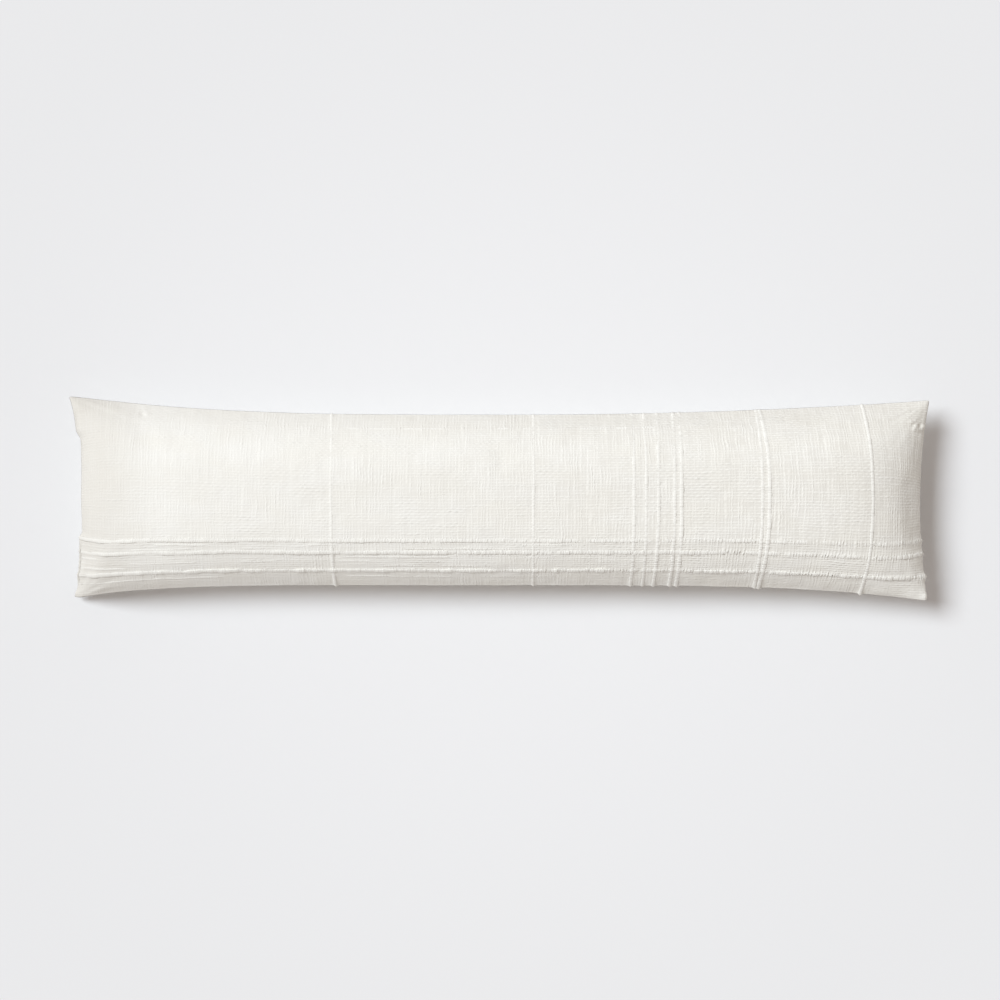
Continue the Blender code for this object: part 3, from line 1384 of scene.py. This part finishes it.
@dataclass
class CushionCover:
    """The two woven panels sewn together round the filling, as one closed surface."""

    shape: CoverShape
    settling: Settling
    finish: ClothFinish
    columns: int = 484
    rows: int = 146
    skip: int = 2               # how many front cells meet one back cell
    lip_cells: int = 2          # how many cells wide the lip is
    warp_pitch: float = 0.0045  # distance between the upright threads
    weft_pitch: float = 0.0041  # and between the level ones
    crowding: float = 2.2       # how much closer the mesh lines lie along raised yarns
    crowd_width: float = 0.0045
    samples: int = 8001         # places from which the spacing of the mesh lines is summed up
    streaks: float = 0.00022    # height of the bars where thick threads bunch
    upright: Lumps = Lumps(0.0052, 0.050, 11)
    level: Lumps = Lumps(0.060, 0.0046, 21)
    upright_strength: tuple[float, float] = (0.6, 1.1)  # at the near right and at the far left
    level_strength: tuple[float, float] = (1.0, 0.5)
    change: tuple[float, float] = (1.6, 0.2)  # metres that this change takes, along and across
    rough: tuple[float, float] = (0.75, 1.20)  # how rough the ground is left and right
    rough_between: tuple[float, float] = (-0.6, 0.6)
    crinkle: float = 0.00026
    fine: Lumps = Lumps(0.010, 0.009, 31)
    billow: float = 0.00050
    broad: Lumps = Lumps(0.050, 0.035, 41)
    band_start: float = -0.055  # distance from the middle, in front, at which the near band begins
    rib_height: float = 0.00022
    rib_pitch: float = 0.0064
    rib_start: float = 0.008    # length over which they begin inside the band
    rib_strength: tuple[float, float] = (0.45, 1.0)  # at the right and at the left
    rib_between: tuple[float, float] = (-0.30, -0.55)
    rib_reach: float = 0.65     # how far they wander, in ribs
    rib_wander: Lumps = Lumps(0.11, 0.03, 51)
    rib_patchy: float = 0.45
    rib_patches: Lumps = Lumps(0.04, 0.008, 52, 1)
    pucker: float = 0.00072     # height of the puckers along the seams
    pucker_start: float = 0.004
    pucker_reach: float = 0.014
    pucker_long: float = 0.012  # size of the puckers along a long seam
    pucker_short: float = 0.010
    gather: float = 0.0008      # height of the gathers in the corners
    gathers: float = 9.0        # how many there are to a radian
    gather_reach: float = 0.075
    gather_start: float = 0.02
    usual_yarn: float = 0.004   # thickness of a yarn that lifts the cloth by what follows
    ridge: float = 0.0007       # height of the cloth's ridge over a raised yarn
    ridge_width: float = 0.6    # against the yarn's
    trough: float = 0.00010     # depth of the trough beside it
    trough_width: float = 1.5
    swell: float = 0.00085      # height of the broader swell round a lengthwise yarn
    swell_width: float = 0.0040
    swell_length: float = 0.0085
    swell_side: float = 0.012
    swell_usual: float = 0.62
    swell_uneven: float = 0.5
    swell_ends: tuple[float, float] = (0.85, 1.30)  # its strength left and right
    swell_between: tuple[float, float] = (-0.10, 0.50)
    climbing: tuple[float, float] = (-0.45, 1.0)  # most, over crosswise and lengthwise yarns
    climb_width: float = 0.8    # over a crosswise one, against the yarn's
    flattened: float = 0.7      # how much of the rough ground is pulled flat on a ridge
    yarn_ends: float = 30.0     # how sharply a yarn that stops short of a seam ends
    smooth_seam: float = 0.3    # share of the lip that stays without relief
    seam_fade: float = 0.006    # length over which the relief then grows
    edge_waver: float = 0.0004  # how far each edge strays from its line
    long_wave: float = 0.045
    short_wave: float = 0.035
    waver_power: float = 6.0    # the higher, the closer to the seam the waver keeps
    # How far a yarn's end pushes out the far, the near, the right and the left edge.
    tails: tuple[float, float, float, float] = (0.0007, 0.0028, 0.0030, 0.0008)
    long_tail_power: float = 16.0
    short_power: float = 30.0
    tail_widths: tuple[float, float] = (0.7, 0.85)  # for crosswise and lengthwise yarns
    slack: float = 0.0055       # how far the near band and the far ear stand out of the left end
    slack_near: float = 0.7     # share of it in the near band
    slack_top: tuple[float, float] = (0.006, -0.005)  # where it begins there, from the band's top
    slack_foot: tuple[float, float] = (-0.138, -0.118)
    slack_far: tuple[float, float] = (0.086, 0.102)
    smooth: Array = field(init=False)
    front: Array = field(init=False)
    back: Array = field(init=False)

    def lines(self, cells: int, length: float, homes: list[float]) -> Array:
        """Places of the mesh lines one way, close together in the lips and along raised yarns.

        Args:
            cells: How many cells there are.
            length: Length of the cloth that way.
            homes: Places of the raised yarns that these lines run beside.

        Returns:
            Places in -1..1.
        """
        edge = 1.0 - 2.0 * self.shape.lip / length
        lip = np.linspace(edge, 1.0, self.lip_cells + 1)[1:]
        fine = np.linspace(-edge, edge, self.samples)
        crowd = sum(bump((fine - home) * 0.5 * length, self.crowd_width) for home in homes)
        reach = np.cumsum(1.0 + self.crowding * np.minimum(crowd, 1.0))
        even = np.linspace(reach[0], reach[-1], cells - 2 * self.lip_cells + 1)
        return np.concatenate([-lip[::-1], np.interp(even, reach, fine), lip])

    def home(self, yarn: RaisedYarn) -> float:
        """Place of a yarn's line, along the cloth or across it."""
        return self.shape.across_at(yarn.at) if yarn.lengthwise else self.shape.along_at(yarn.at)

    def __post_init__(self) -> None:
        """Work out both panels' points."""
        self.homes = {yarn.name: self.home(yarn) for yarn in (*YARNS, *RIBS)}
        upright = [self.homes[yarn.name] for yarn in CROSSWISE_YARNS]
        level = [self.homes[yarn.name] for yarn in LENGTHWISE_YARNS]
        self.along = self.lines(self.columns, self.shape.cloth_length, upright)
        self.across = self.lines(self.rows, self.shape.cloth_width, level)
        moved = self.settling.settle(self.shape)
        self.smooth = self.settled(self.along, self.across, Face.FRONT, moved)
        self.front = self.roughened(self.smooth, self.along, self.across, Face.FRONT)
        along, across = self.along[:: self.skip], self.across[:: self.skip]
        behind = self.settled(along, across, Face.BACK, moved)
        self.back = self.roughened(behind, along, across, Face.BACK)

    def settled(self, along: Array, across: Array, face: Face, moved: dict[Face, Array]) -> Array:
        """Smooth form plus what the simulation adds, waved a little along the seam.

        Each edge strays by a noise and is pushed out by the yarns that end in it, by less the
        further in: times the place across it to a power. The left end has some slack too.

        Args:
            along: Places of the mesh lines along the cloth.
            across: Places of the mesh lines across it.
            face: Which panel.
            moved: What the simulation gave for either panel.

        Returns:
            Grid of points.
        """
        points = self.shape.place(along[:, None], across[None, :], face)
        points = points + resample(moved[face], along, across)
        p, q = 0.5 * self.shape.cloth_length * along, 0.5 * self.shape.cloth_width * across
        far, near, right, left = self.tails
        for side, row, seed, tail in ((1, 3.3, 71, far), (-1, 9.1, 72, near)):
            waver = self.edge_waver * layered_noise(p / self.long_wave, row, seed)
            pushed = tail * self.ends(CROSSWISE_YARNS, side, p)
            outer = np.clip(side * across, 0.0, 1.0)[None]
            points[..., 1] += side * waver[:, None] * outer**self.waver_power
            points[..., 1] += side * pushed[:, None] * outer**self.long_tail_power
        for side, row, seed, tail in ((1, 5.7, 73, right), (-1, 7.9, 74, left)):
            waver = self.edge_waver * layered_noise(q / self.short_wave, row, seed)
            out = waver + tail * self.ends(LENGTHWISE_YARNS, side, q)
            if side < 0:
                out = out + self.slack * self.loose(q)
            outer = np.clip(side * along, 0.0, 1.0)[:, None]
            points[..., 0] += side * out[None] * outer**self.short_power
        return points

    def loose(self, q: Array) -> Array:
        """How slack the cloth is along the left end: some in the near band, most in the far ear.

        Args:
            q: Distances across the cloth from its middle.

        Returns:
            Shares from 0 to 1.
        """
        top, below = (self.band_top + step for step in self.slack_top)
        band = self.slack_near * ease(q, top, below) * ease(q, *self.slack_foot)
        return band + ease(q, *self.slack_far)

    def ends(self, yarns: tuple[RaisedYarn, ...], side: int, place: Array) -> Array:
        """Bell curves along a seam where raised yarns run into it.

        Args:
            yarns: The yarns that run one way.
            side: -1 for their first ends and 1 for their last.
            place: Distances along the seam from its middle.

        Returns:
            Values from 0 to about 1.
        """
        total = np.zeros_like(place)
        for yarn in yarns:
            if (yarn.end if side > 0 else -yarn.start) >= 1.0:
                length, width = self.spans(yarn)
                lean = yarn.lean_end if side > 0 else yarn.lean_start
                beside = yarn.beside(np.array([0.5 * length * side]))[0]
                middle = 0.5 * width * self.homes[yarn.name] + lean + beside
                wide = self.tail_widths[yarn.lengthwise] * yarn.thick
                total = total + yarn.height * bump(place - middle, wide)
        return total

    def spans(self, yarn: RaisedYarn) -> tuple[float, float]:
        """Length of the cloth along a yarn, and across it."""
        both = self.shape.cloth_length, self.shape.cloth_width
        return both if yarn.lengthwise else both[::-1]

    def from_seam(self, along: Array, across: Array) -> tuple[Array, Array]:
        """Distance over the cloth to the nearest long and the nearest short seam.

        Args:
            along: Places along the cloth.
            across: Places across it.

        Returns:
            Distances in metres to the long seam and to the short one.
        """
        long_way = 0.5 * self.shape.cloth_width * (1.0 - np.abs(across))
        short_way = 0.5 * self.shape.cloth_length * (1.0 - np.abs(along))
        return long_way, short_way

    def weave_relief(self, p: Array, q: Array) -> Array:
        """Uneven ground: bars where thick threads bunch, both ways, over a fine crinkle.

        The upright bars are strongest at the far left, the level ones at the near right.

        Args:
            p: Distance along the cloth from its middle.
            q: Distance across the cloth from its middle.

        Returns:
            Heights in metres.
        """
        far_left = smooth_step(0.5 + q / self.change[1] - p / self.change[0])
        rough = between(self.rough, ease(p, *self.rough_between))
        upright = self.upright.at(p, q) * between(self.upright_strength, far_left)
        level = self.level.at(p, q) * between(self.level_strength, far_left)
        ground = self.streaks * (upright + level) + self.crinkle * self.fine.at(p, q)
        return rough * ground + self.billow * self.broad.at(p, q)

    def rib_relief(self, p: Array, q: Array) -> Array:
        """Loose wavy ribs in the near band, strongest towards the left end.

        Args:
            p: Distance along the cloth from its middle.
            q: Distance across the cloth from its middle.

        Returns:
            Heights in metres.
        """
        inside = smooth_step((self.band_top - q) / self.rib_start)
        strength = between(self.rib_strength, ease(p, *self.rib_between))
        patchy = 1.0 - self.rib_patchy + self.rib_patchy * self.rib_patches.at(p, q)
        turn = 2.0 * math.pi * (q / self.rib_pitch + self.rib_reach * self.rib_wander.at(p, q))
        return self.rib_height * inside * strength * patchy * np.cos(turn)

    def seam_relief(self, p: Array, q: Array, from_long: Array, from_short: Array) -> Array:
        """Puckers square to the seams, fading inwards, and gathers that fan from the corners.

        Args:
            p: Distance along the cloth from its middle.
            q: Distance across the cloth from its middle.
            from_long: Distance to the nearest long seam.
            from_short: Distance to the nearest short seam.

        Returns:
            Heights in metres.
        """
        near_long, near_short = (
            smooth_step((away - self.shape.lip) / self.pucker_start)
            * np.exp(-away / self.pucker_reach)
            for away in (from_long, from_short)
        )
        side, end = np.sign(q), np.sign(p)  # each seam and corner reads a row of its own
        puckers = near_long * layered_noise(p / self.pucker_long, side * 3.0, 61, 2)
        puckers = puckers + near_short * layered_noise(q / self.pucker_short, end * 5.0, 62, 2)
        reach = np.hypot(from_long, from_short)
        turn = np.arctan2(from_long, from_short)
        fan_out = value_noise(turn * self.gathers, 11.0 * end + 5.0 * side, 63)
        fan_out = fan_out * smooth_step(reach / self.gather_start) * bump(reach, self.gather_reach)
        return self.pucker * puckers + self.gather * fan_out

    def beside_yarn(
        self, yarn: RaisedYarn, along: Array, across: Array
    ) -> tuple[Array, Array, Array]:
        """Where places on the cloth lie against one raised yarn.

        Args:
            yarn: Which yarn.
            along: Places along the cloth.
            across: Places across it.

        Returns:
            Share of 1 where the yarn runs and 0 past its ends, distance along it, and distance
            to its side.
        """
        go, side = (along, across) if yarn.lengthwise else (across, along)
        length, width = self.spans(yarn)
        run = go * 0.5 * length
        off = (side - self.homes[yarn.name]) * 0.5 * width
        first = smooth_step((go - yarn.start) * self.yarn_ends + 1.0)
        last = smooth_step((yarn.end - go) * self.yarn_ends + 1.0)
        lean = np.where(go < 0, yarn.lean_start, yarn.lean_end) * go * go
        return first * last, run, off - lean - yarn.beside(run)

    def crossings(self, along: Array, across: Array) -> Array:
        """Where threads climb over a raised yarn: the sum of a bell curve across each yarn.

        Args:
            along: Places along the cloth.
            across: Places across it.

        Returns:
            Up to 1 on a lengthwise yarn and below 0 on a crosswise one.
        """
        total = np.zeros(np.broadcast(along, across).shape)
        for yarn in YARNS:
            inside, _, apart = self.beside_yarn(yarn, along, across)
            wide = self.swell_width if yarn.lengthwise else self.climb_width * yarn.thick
            most = self.climbing[yarn.lengthwise] * yarn.height
            total = total + most * inside * bump(apart, wide)
        return np.clip(total, -1.0, 1.0)

    def yarn_relief(self, along: Array, across: Array) -> tuple[Array, Array]:
        """Soft ridge where the ground cloth climbs each raised yarn, and a trough beside it.

        A bell curve a little narrower than the yarn, less a lower and wider one, times the
        yarn's height and girth there. A whole lengthwise yarn also swells the cloth more
        broadly, in lumps.

        Args:
            along: Places along the cloth.
            across: Places across it.

        Returns:
            Heights in metres, and the share of the rough ground that is left, of 0 to 1.
        """
        height, left = np.zeros(np.broadcast(along, across).shape), 1.0
        for yarn in (*YARNS, *RIBS):
            inside, run, apart = self.beside_yarn(yarn, along, across)
            pitch = self.warp_pitch if yarn.lengthwise else self.weft_pitch
            size = yarn.thick / self.usual_yarn * yarn.height * inside
            size = size * yarn.shown(run) * yarn.girth(run, pitch)
            if yarn.broken:
                size = size * (1.0 - SPINNING.broken_lost * ease(run, *SPINNING.broken_sink))
            near = bump(apart, self.ridge_width * yarn.thick)
            beside = bump(apart, self.trough_width * yarn.thick)
            height = height + size * (self.ridge * near - self.trough * beside)
            if yarn.lengthwise and not yarn.broken:
                row = yarn.seed + apart / self.swell_side
                uneven = value_noise(run / self.swell_length, row, yarn.seed + 21)
                lumps = self.swell_usual + self.swell_uneven * uneven
                lumps = lumps * between(self.swell_ends, ease(run, *self.swell_between))
                swell = self.swell * yarn.height * lumps
                height = height + swell * bump(apart, self.swell_width)
            left = left * (1.0 - self.flattened * np.clip(size, 0, 1) * near)
        return height, left

    @property
    def band_top(self) -> float:
        """Distance across the cloth at which the near band begins."""
        return 0.5 * self.shape.cloth_width * self.shape.across_at(self.band_start)

    def roughened(self, points: Array, along: Array, across: Array, face: Face) -> Array:
        """Move each point along its normal by the cloth's relief, and rest the back on the floor.

        Args:
            points: Grid of the settled panel.
            along: Places of the mesh lines along the cloth.
            across: Places of the mesh lines across it.
            face: Which panel.

        Returns:
            Grid of points.
        """
        a, b = along[:, None], across[None, :]
        p, q = 0.5 * self.shape.cloth_length * a, 0.5 * self.shape.cloth_width * b
        from_long, from_short = self.from_seam(a, b)
        edge = np.minimum(from_long, from_short) - self.smooth_seam * self.shape.lip
        fade = smooth_step(edge / self.seam_fade)
        relief = self.weave_relief(p, q)
        if face is Face.FRONT:
            ridges, left = self.yarn_relief(a, b)
            relief = left * (relief + self.rib_relief(p, q)) + ridges
        relief = relief * fade + self.seam_relief(p, q, from_long, from_short)
        normal = grid_normals(points) * (1.0 if face is Face.FRONT else -1.0)
        points = points + normal * relief[..., None]
        if face is Face.FRONT:
            for nub in NUBS:
                away = np.hypot(points[..., 0] - nub.x, points[..., 1] - nub.y)
                points[..., 2] += nub.height * bump(away, nub.width)
        points[..., 2] = np.maximum(points[..., 2], 0.0)
        return points

    def read(self, along: Array, across: Array, grid: Array) -> Array:
        """Read one of the front panel's grids at scattered places on the cloth.

        Args:
            along: Place of each reading along the cloth.
            across: Its place across the cloth.
            grid: Values at the front panel's points.

        Returns:
            One row for each reading.
        """
        i = np.interp(along, self.along, np.linspace(-1.0, 1.0, len(self.along)))
        j = np.interp(across, self.across, np.linspace(-1.0, 1.0, len(self.across)))
        return read_grid(grid, i, j)

    def front_faces(self, front: Array) -> list[list[int]]:
        """Faces of the front panel, its four corner cells cut from the corner inwards.

        Cut the other way, a corner's two panels would share the cut and lie on each other.

        Args:
            front: Vertex numbers of the front grid.

        Returns:
            Vertex numbers of each face, facing away from the back.
        """
        quads = grid_quads(front)
        level = front.shape[1] - 1
        inner = {0: 2, level - 1: 1, len(quads) - level: 3, len(quads) - 1: 0}
        corners = [face for cell, hub in inner.items() for face in fan(quads[cell].tolist(), hub)]
        return np.delete(quads, list(inner), axis=0).tolist() + corners

    def back_faces(self, front: Array, back: Array) -> list[list[int]]:
        """Faces of the back panel, which take in every front point along the seam.

        Inner cells have four corners. A cell on an edge has the odd front point between its
        two edge corners as a fifth. A cell in a corner of the panel has two such points, and
        is cut into triangles from its inner corner.

        Args:
            front: Vertex numbers of the front grid.
            back: Vertex numbers of the back grid.

        Returns:
            Vertex numbers of each face, facing away from the front.
        """
        a, b, c, d = back[:-1, :-1], back[:-1, 1:], back[1:, 1:], back[1:, :-1]
        odd_near, odd_far = front[1::2, 0], front[1::2, -1]
        odd_left, odd_right = front[0, 1::2], front[-1, 1::2]
        quads = np.stack([a, b, c, d], -1)[1:-1, 1:-1].reshape(-1, 4)
        mid, end = slice(1, -1), (0, -1)
        near = np.stack([a[mid, 0], b[mid, 0], c[mid, 0], d[mid, 0], odd_near[mid]], -1)
        far = np.stack([a[mid, -1], b[mid, -1], odd_far[mid], c[mid, -1], d[mid, -1]], -1)
        left = np.stack([a[0, mid], odd_left[mid], b[0, mid], c[0, mid], d[0, mid]], -1)
        right = np.stack([a[-1, mid], b[-1, mid], c[-1, mid], odd_right[mid], d[-1, mid]], -1)
        corners = []
        for i in end:
            for j in end:
                ring = [a[i, j], b[i, j], c[i, j], d[i, j]]
                gaps = {3: odd_near[i]} if j == 0 else {1: odd_far[i]}
                gaps |= {0: odd_left[j]} if i == 0 else {2: odd_right[j]}
                ring = [int(v) for k in range(4) for v in (ring[k], gaps.get(k)) if v is not None]
                corners += fan(ring, ring.index(back[1 if i == 0 else -2, 1 if j == 0 else -2]))
        faces = [face for group in (quads, near, far, left, right) for face in group.tolist()]
        return faces + corners

    def build(self) -> bpy.types.Object:
        """Make the cover's mesh with both maps and its finish.

        Returns:
            The cover, riding on the body and standing in for the plain cushion.
        """
        index, points, _ = shared_edge_grid(self.front, self.back, self.skip)
        fronts = self.front_faces(index[Face.FRONT])
        backs = self.back_faces(index[Face.FRONT], index[Face.BACK])
        piece = new_mesh_object("woven_cover", points, fronts + backs)
        self.lay_maps(piece, index, len(points), sum(map(len, fronts)))
        crossed = np.zeros(len(points))
        crossed[index[Face.FRONT]] = self.crossings(self.along[:, None], self.across[None, :])
        piece.data.attributes.new(CROSSED, "FLOAT", "POINT").data.foreach_set("value", crossed)
        piece.data.materials.append(self.finish.build("slub woven cotton"))
        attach(piece, BODY)
        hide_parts(CUSHION_NODE)
        return piece

    def lay_maps(
        self, piece: bpy.types.Object, index: dict[Face, Array], count: int, split: int
    ) -> None:
        """Give the cover its thread-counting map and its map without overlaps.

        On the second one the front lies above the back.

        Args:
            piece: The cover.
            index: Vertex numbers of either panel.
            count: How many vertices there are.
            split: The first face corner of the back panel.
        """
        place = np.empty((count, 2))
        for face, skip in ((Face.FRONT, 1), (Face.BACK, self.skip)):
            a, b = np.meshgrid(self.along[::skip], self.across[::skip], indexing="ij")
            place[index[face]] = np.stack([a, b], -1)
        corner = place[loop_vertices(piece)]
        half = np.array([self.shape.cloth_length, self.shape.cloth_width]) * 0.5
        set_map(piece, THREAD_MAP, corner * half / [self.warp_pitch, self.weft_pitch])
        flat = np.empty_like(corner)
        for part, size, middle in ((slice(split), 0.29, 0.70), (slice(split, None), 0.19, 0.20)):
            flat[part] = corner[part] * [0.49, size] + [0.5, middle]
        set_map(piece, BAKE_MAP, flat)


# --------------------
# Yarns on the cover


@dataclass
class YarnWork:
    """The raised yarns and the loose ribs between them, laid on the cover."""

    cover: CushionCover
    finish: YarnFinish
    step: float = 0.0015
    sides: int = 8
    core: float = 1.15          # width of the yarn's bare top, against the yarn's
    flatness: float = 0.205
    proud: float = -0.30        # how far its middle stands out of the ridge, in half heights
    dips: float = 1.5           # how far a full pinch draws it down, in half heights
    level_beat: float = 0.8     # the pinch at which it is neither up nor down
    sinks: float = 0.9          # how far down it goes where none of it shows, in half heights
    deep_sinks: float = 2.2     # the same for one that dips under or stops short of a seam
    broken_sinks: float = 0.5   # how much more of a broken one is under towards the right
    taper: float = 0.0015       # length over which a yarn comes to its point
    thinnest: float = 0.02      # square of its share of the girth there
    fade: float = 0.04          # length over which one that stops short sinks into the cloth
    seam_reach: float = 0.0010  # how far the others reach out over the seam
    seam_fade: float = 0.002

    def lay(self, yarn: RaisedYarn, batch: TubeBatch) -> None:
        """Carry one raised yarn over the cover, from seam to seam or between its ends.

        It rides on the ridge of the cover, where its line wavers, its girth swells and thins,
        and the threads that cross it pinch it.

        Args:
            yarn: Which yarn.
            batch: The tubes that it joins.
        """
        cover = self.cover
        length, width = cover.spans(yarn)
        pitch = cover.warp_pitch if yarn.lengthwise else cover.weft_pitch
        count = int(length * 0.5 * (yarn.end - yarn.start) / self.step)
        go = np.linspace(yarn.start, yarn.end, count)
        run = 0.5 * length * go
        lean = np.where(go < 0, yarn.lean_start, yarn.lean_end) * go * go
        beside = cover.homes[yarn.name] + (lean + yarn.beside(run)) * 2.0 / width
        places = (go, beside) if yarn.lengthwise else (beside, go)
        path = cover.read(*places, cover.front)
        up = cover.read(*places, grid_normals(cover.smooth))
        up /= np.linalg.norm(up, axis=1, keepdims=True)
        half = 0.5 * self.core * yarn.thick * yarn.girth(run, pitch)
        to_end = np.minimum(run - run[0], run[-1] - run)
        taper = np.sqrt(np.clip(to_end / self.taper, self.thinnest, 1.0))
        floats = yarn.start > -1.0 or yarn.end < 1.0
        sunk = 1.0 - yarn.shown(run) * (smooth_step(to_end / self.fade) if floats else 1.0)
        if yarn.broken:
            sunk = sunk + self.broken_sinks * ease(run, *SPINNING.broken_sink)
        sunk = sunk * (self.deep_sinks if yarn.broken or floats else self.sinks)
        pinched = self.dips * yarn.beads * (yarn.beat(run, pitch) - self.level_beat)
        half_height = self.flatness * half
        path = path + up * (half_height * (self.proud + pinched - sunk))[:, None]
        if not floats:
            out = np.array([1.0, 0.0, 0.0] if yarn.lengthwise else [0.0, 1.0, 0.0])
            over = self.seam_reach * np.exp(-to_end / self.seam_fade)
            path = path + out * (np.sign(go) * over)[:, None]
        batch.add(path, up, half * taper, half_height * taper)

    def build_group(self, name: str, yarns: tuple[RaisedYarn, ...]) -> bpy.types.Object:
        """Make one piece of a group of yarns.

        Args:
            name: Name of the piece.
            yarns: The yarns in it.

        Returns:
            The piece, with its finish, riding on the body.
        """
        batch = TubeBatch(self.sides)
        for yarn in yarns:
            self.lay(yarn, batch)
        piece = batch.build(name)
        material = bpy.data.materials.get("raised yarn") or self.finish.build("raised yarn")
        piece.data.materials.append(material)
        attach(piece, BODY)
        return piece

    def build(self) -> list[bpy.types.Object]:
        """Make every group of yarns.

        Returns:
            A piece for each group.
        """
        groups = {
            "crosswise_raised_yarns": CROSSWISE_YARNS,
            "lengthwise_raised_yarns": LENGTHWISE_YARNS,
            "loose_ribs": RIBS,
        }
        return [self.build_group(name, yarns) for name, yarns in groups.items()]


# --------------------
# Studio


@dataclass
class Studio:
    """Floor, lights and a camera straight above, lit softly from the left and the far side."""

    floor_finish: FloorFinish
    centre: tuple[float, float] = (-0.0021, -0.0018)  # the place under the camera
    lens: float = 100.0
    sensor: float = 36.0
    view_width: float = 1.387   # how wide the view is at the height of the view plane
    view_plane: float = 0.062
    clip: tuple[float, float] = (0.1, 100.0)
    floor_size: float = 60.0
    floor_low: float = 0.0
    key_slope: tuple[float, float] = (-0.735, 0.382)
    key_spread: float = 29.0    # how wide the key looks from the pillow, in degrees
    key_strength: float = 2.86
    key_colour: Colour = (0.89, 0.95, 1.0)
    key_distance: float = 3.0
    sky_colour: Colour = (1.0, 0.90, 0.83)
    sky_strength: float = 0.41
    backdrop: Colour = (0.800, 0.802, 0.808)

    def camera(self) -> bpy.types.Object:
        """Make the camera, looking straight down with the far side up.

        Returns:
            The camera.
        """
        data = bpy.data.cameras.new("overhead camera")
        data.lens, data.sensor_width = self.lens, self.sensor
        data.clip_start, data.clip_end = self.clip
        camera = bpy.data.objects.new("overhead camera", data)
        height = self.view_plane + self.view_width * self.lens / self.sensor
        camera.location = (*self.centre, height)
        bpy.context.scene.collection.objects.link(camera)
        bpy.context.scene.camera = camera
        return camera

    def key(self) -> bpy.types.Object:
        """Make the broad even lamp that stands off by its slope for each metre of height.

        Returns:
            The lamp.
        """
        data = bpy.data.lights.new("soft key", "SUN")
        data.energy, data.color = self.key_strength, self.key_colour
        data.angle = math.radians(self.key_spread)
        lamp = bpy.data.objects.new("soft key", data)
        way = Vector((*self.key_slope, 1.0)).normalized()
        lamp.location = self.key_distance * way
        lamp.rotation_euler = way.to_track_quat("Z", "Y").to_euler()
        bpy.context.scene.collection.objects.link(lamp)
        return lamp

    def floor(self) -> bpy.types.Object:
        """Make the plain floor that the pillow rests on.

        Returns:
            The floor.
        """
        half = 0.5 * self.floor_size
        line = np.linspace(-half, half, 3)
        x, y = np.meshgrid(line, line, indexing="ij")
        points = np.stack([x, y, np.full_like(x, self.floor_low)], -1).reshape(-1, 3)
        piece = new_mesh_object("floor", points, grid_quads(np.arange(9).reshape(3, 3)).tolist())
        piece.data.materials.append(self.floor_finish.build("pale studio floor"))
        return piece

    def sky(self) -> bpy.types.World:
        """Make the even surround that lights the pillow, and the pale backdrop seen behind it.

        Returns:
            The world.
        """
        world = bpy.data.worlds.new("surround")
        world.use_nodes = True
        nodes, links = world.node_tree.nodes, world.node_tree.links
        lit = nodes["Background"]
        lit.inputs["Color"].default_value = opaque(self.sky_colour)
        lit.inputs["Strength"].default_value = self.sky_strength
        seen = nodes.new("ShaderNodeBackground")
        seen.inputs["Color"].default_value = opaque(self.backdrop)
        either = nodes.new("ShaderNodeMixShader")
        links.new(nodes.new("ShaderNodeLightPath").outputs["Is Camera Ray"], either.inputs[0])
        links.new(lit.outputs[0], either.inputs[1])
        links.new(seen.outputs[0], either.inputs[2])
        links.new(either.outputs[0], nodes["World Output"].inputs["Surface"])
        bpy.context.scene.world = world
        return world

    def build(self) -> None:
        """Set up camera, lamp, surround, floor and plain tones."""
        self.camera()
        self.key()
        self.sky()
        self.floor()
        bpy.context.scene.view_settings.view_transform = "Standard"


def report(piece: bpy.types.Object) -> None:
    """Log a piece's name and size.

    Args:
        piece: The piece.
    """
    sides = ", ".join(f"{1000 * side:.1f}" for side in piece.dimensions)
    triangles = sum(len(polygon.vertices) - 2 for polygon in piece.data.polygons)
    log.info("%s: %d triangles, %s mm", piece.name, triangles, sides)


def main() -> None:
    """Build the studio, the cover and its yarns, in that order."""
    logging.basicConfig(level=logging.INFO, format="%(name)s: %(message)s")
    Studio(FloorFinish()).build()
    cover = CushionCover(CoverShape(), Settling(), ClothFinish())
    report(cover.build())
    for piece in YarnWork(cover, YarnFinish()).build():
        report(piece)


if __name__ == "__main__":
    main()
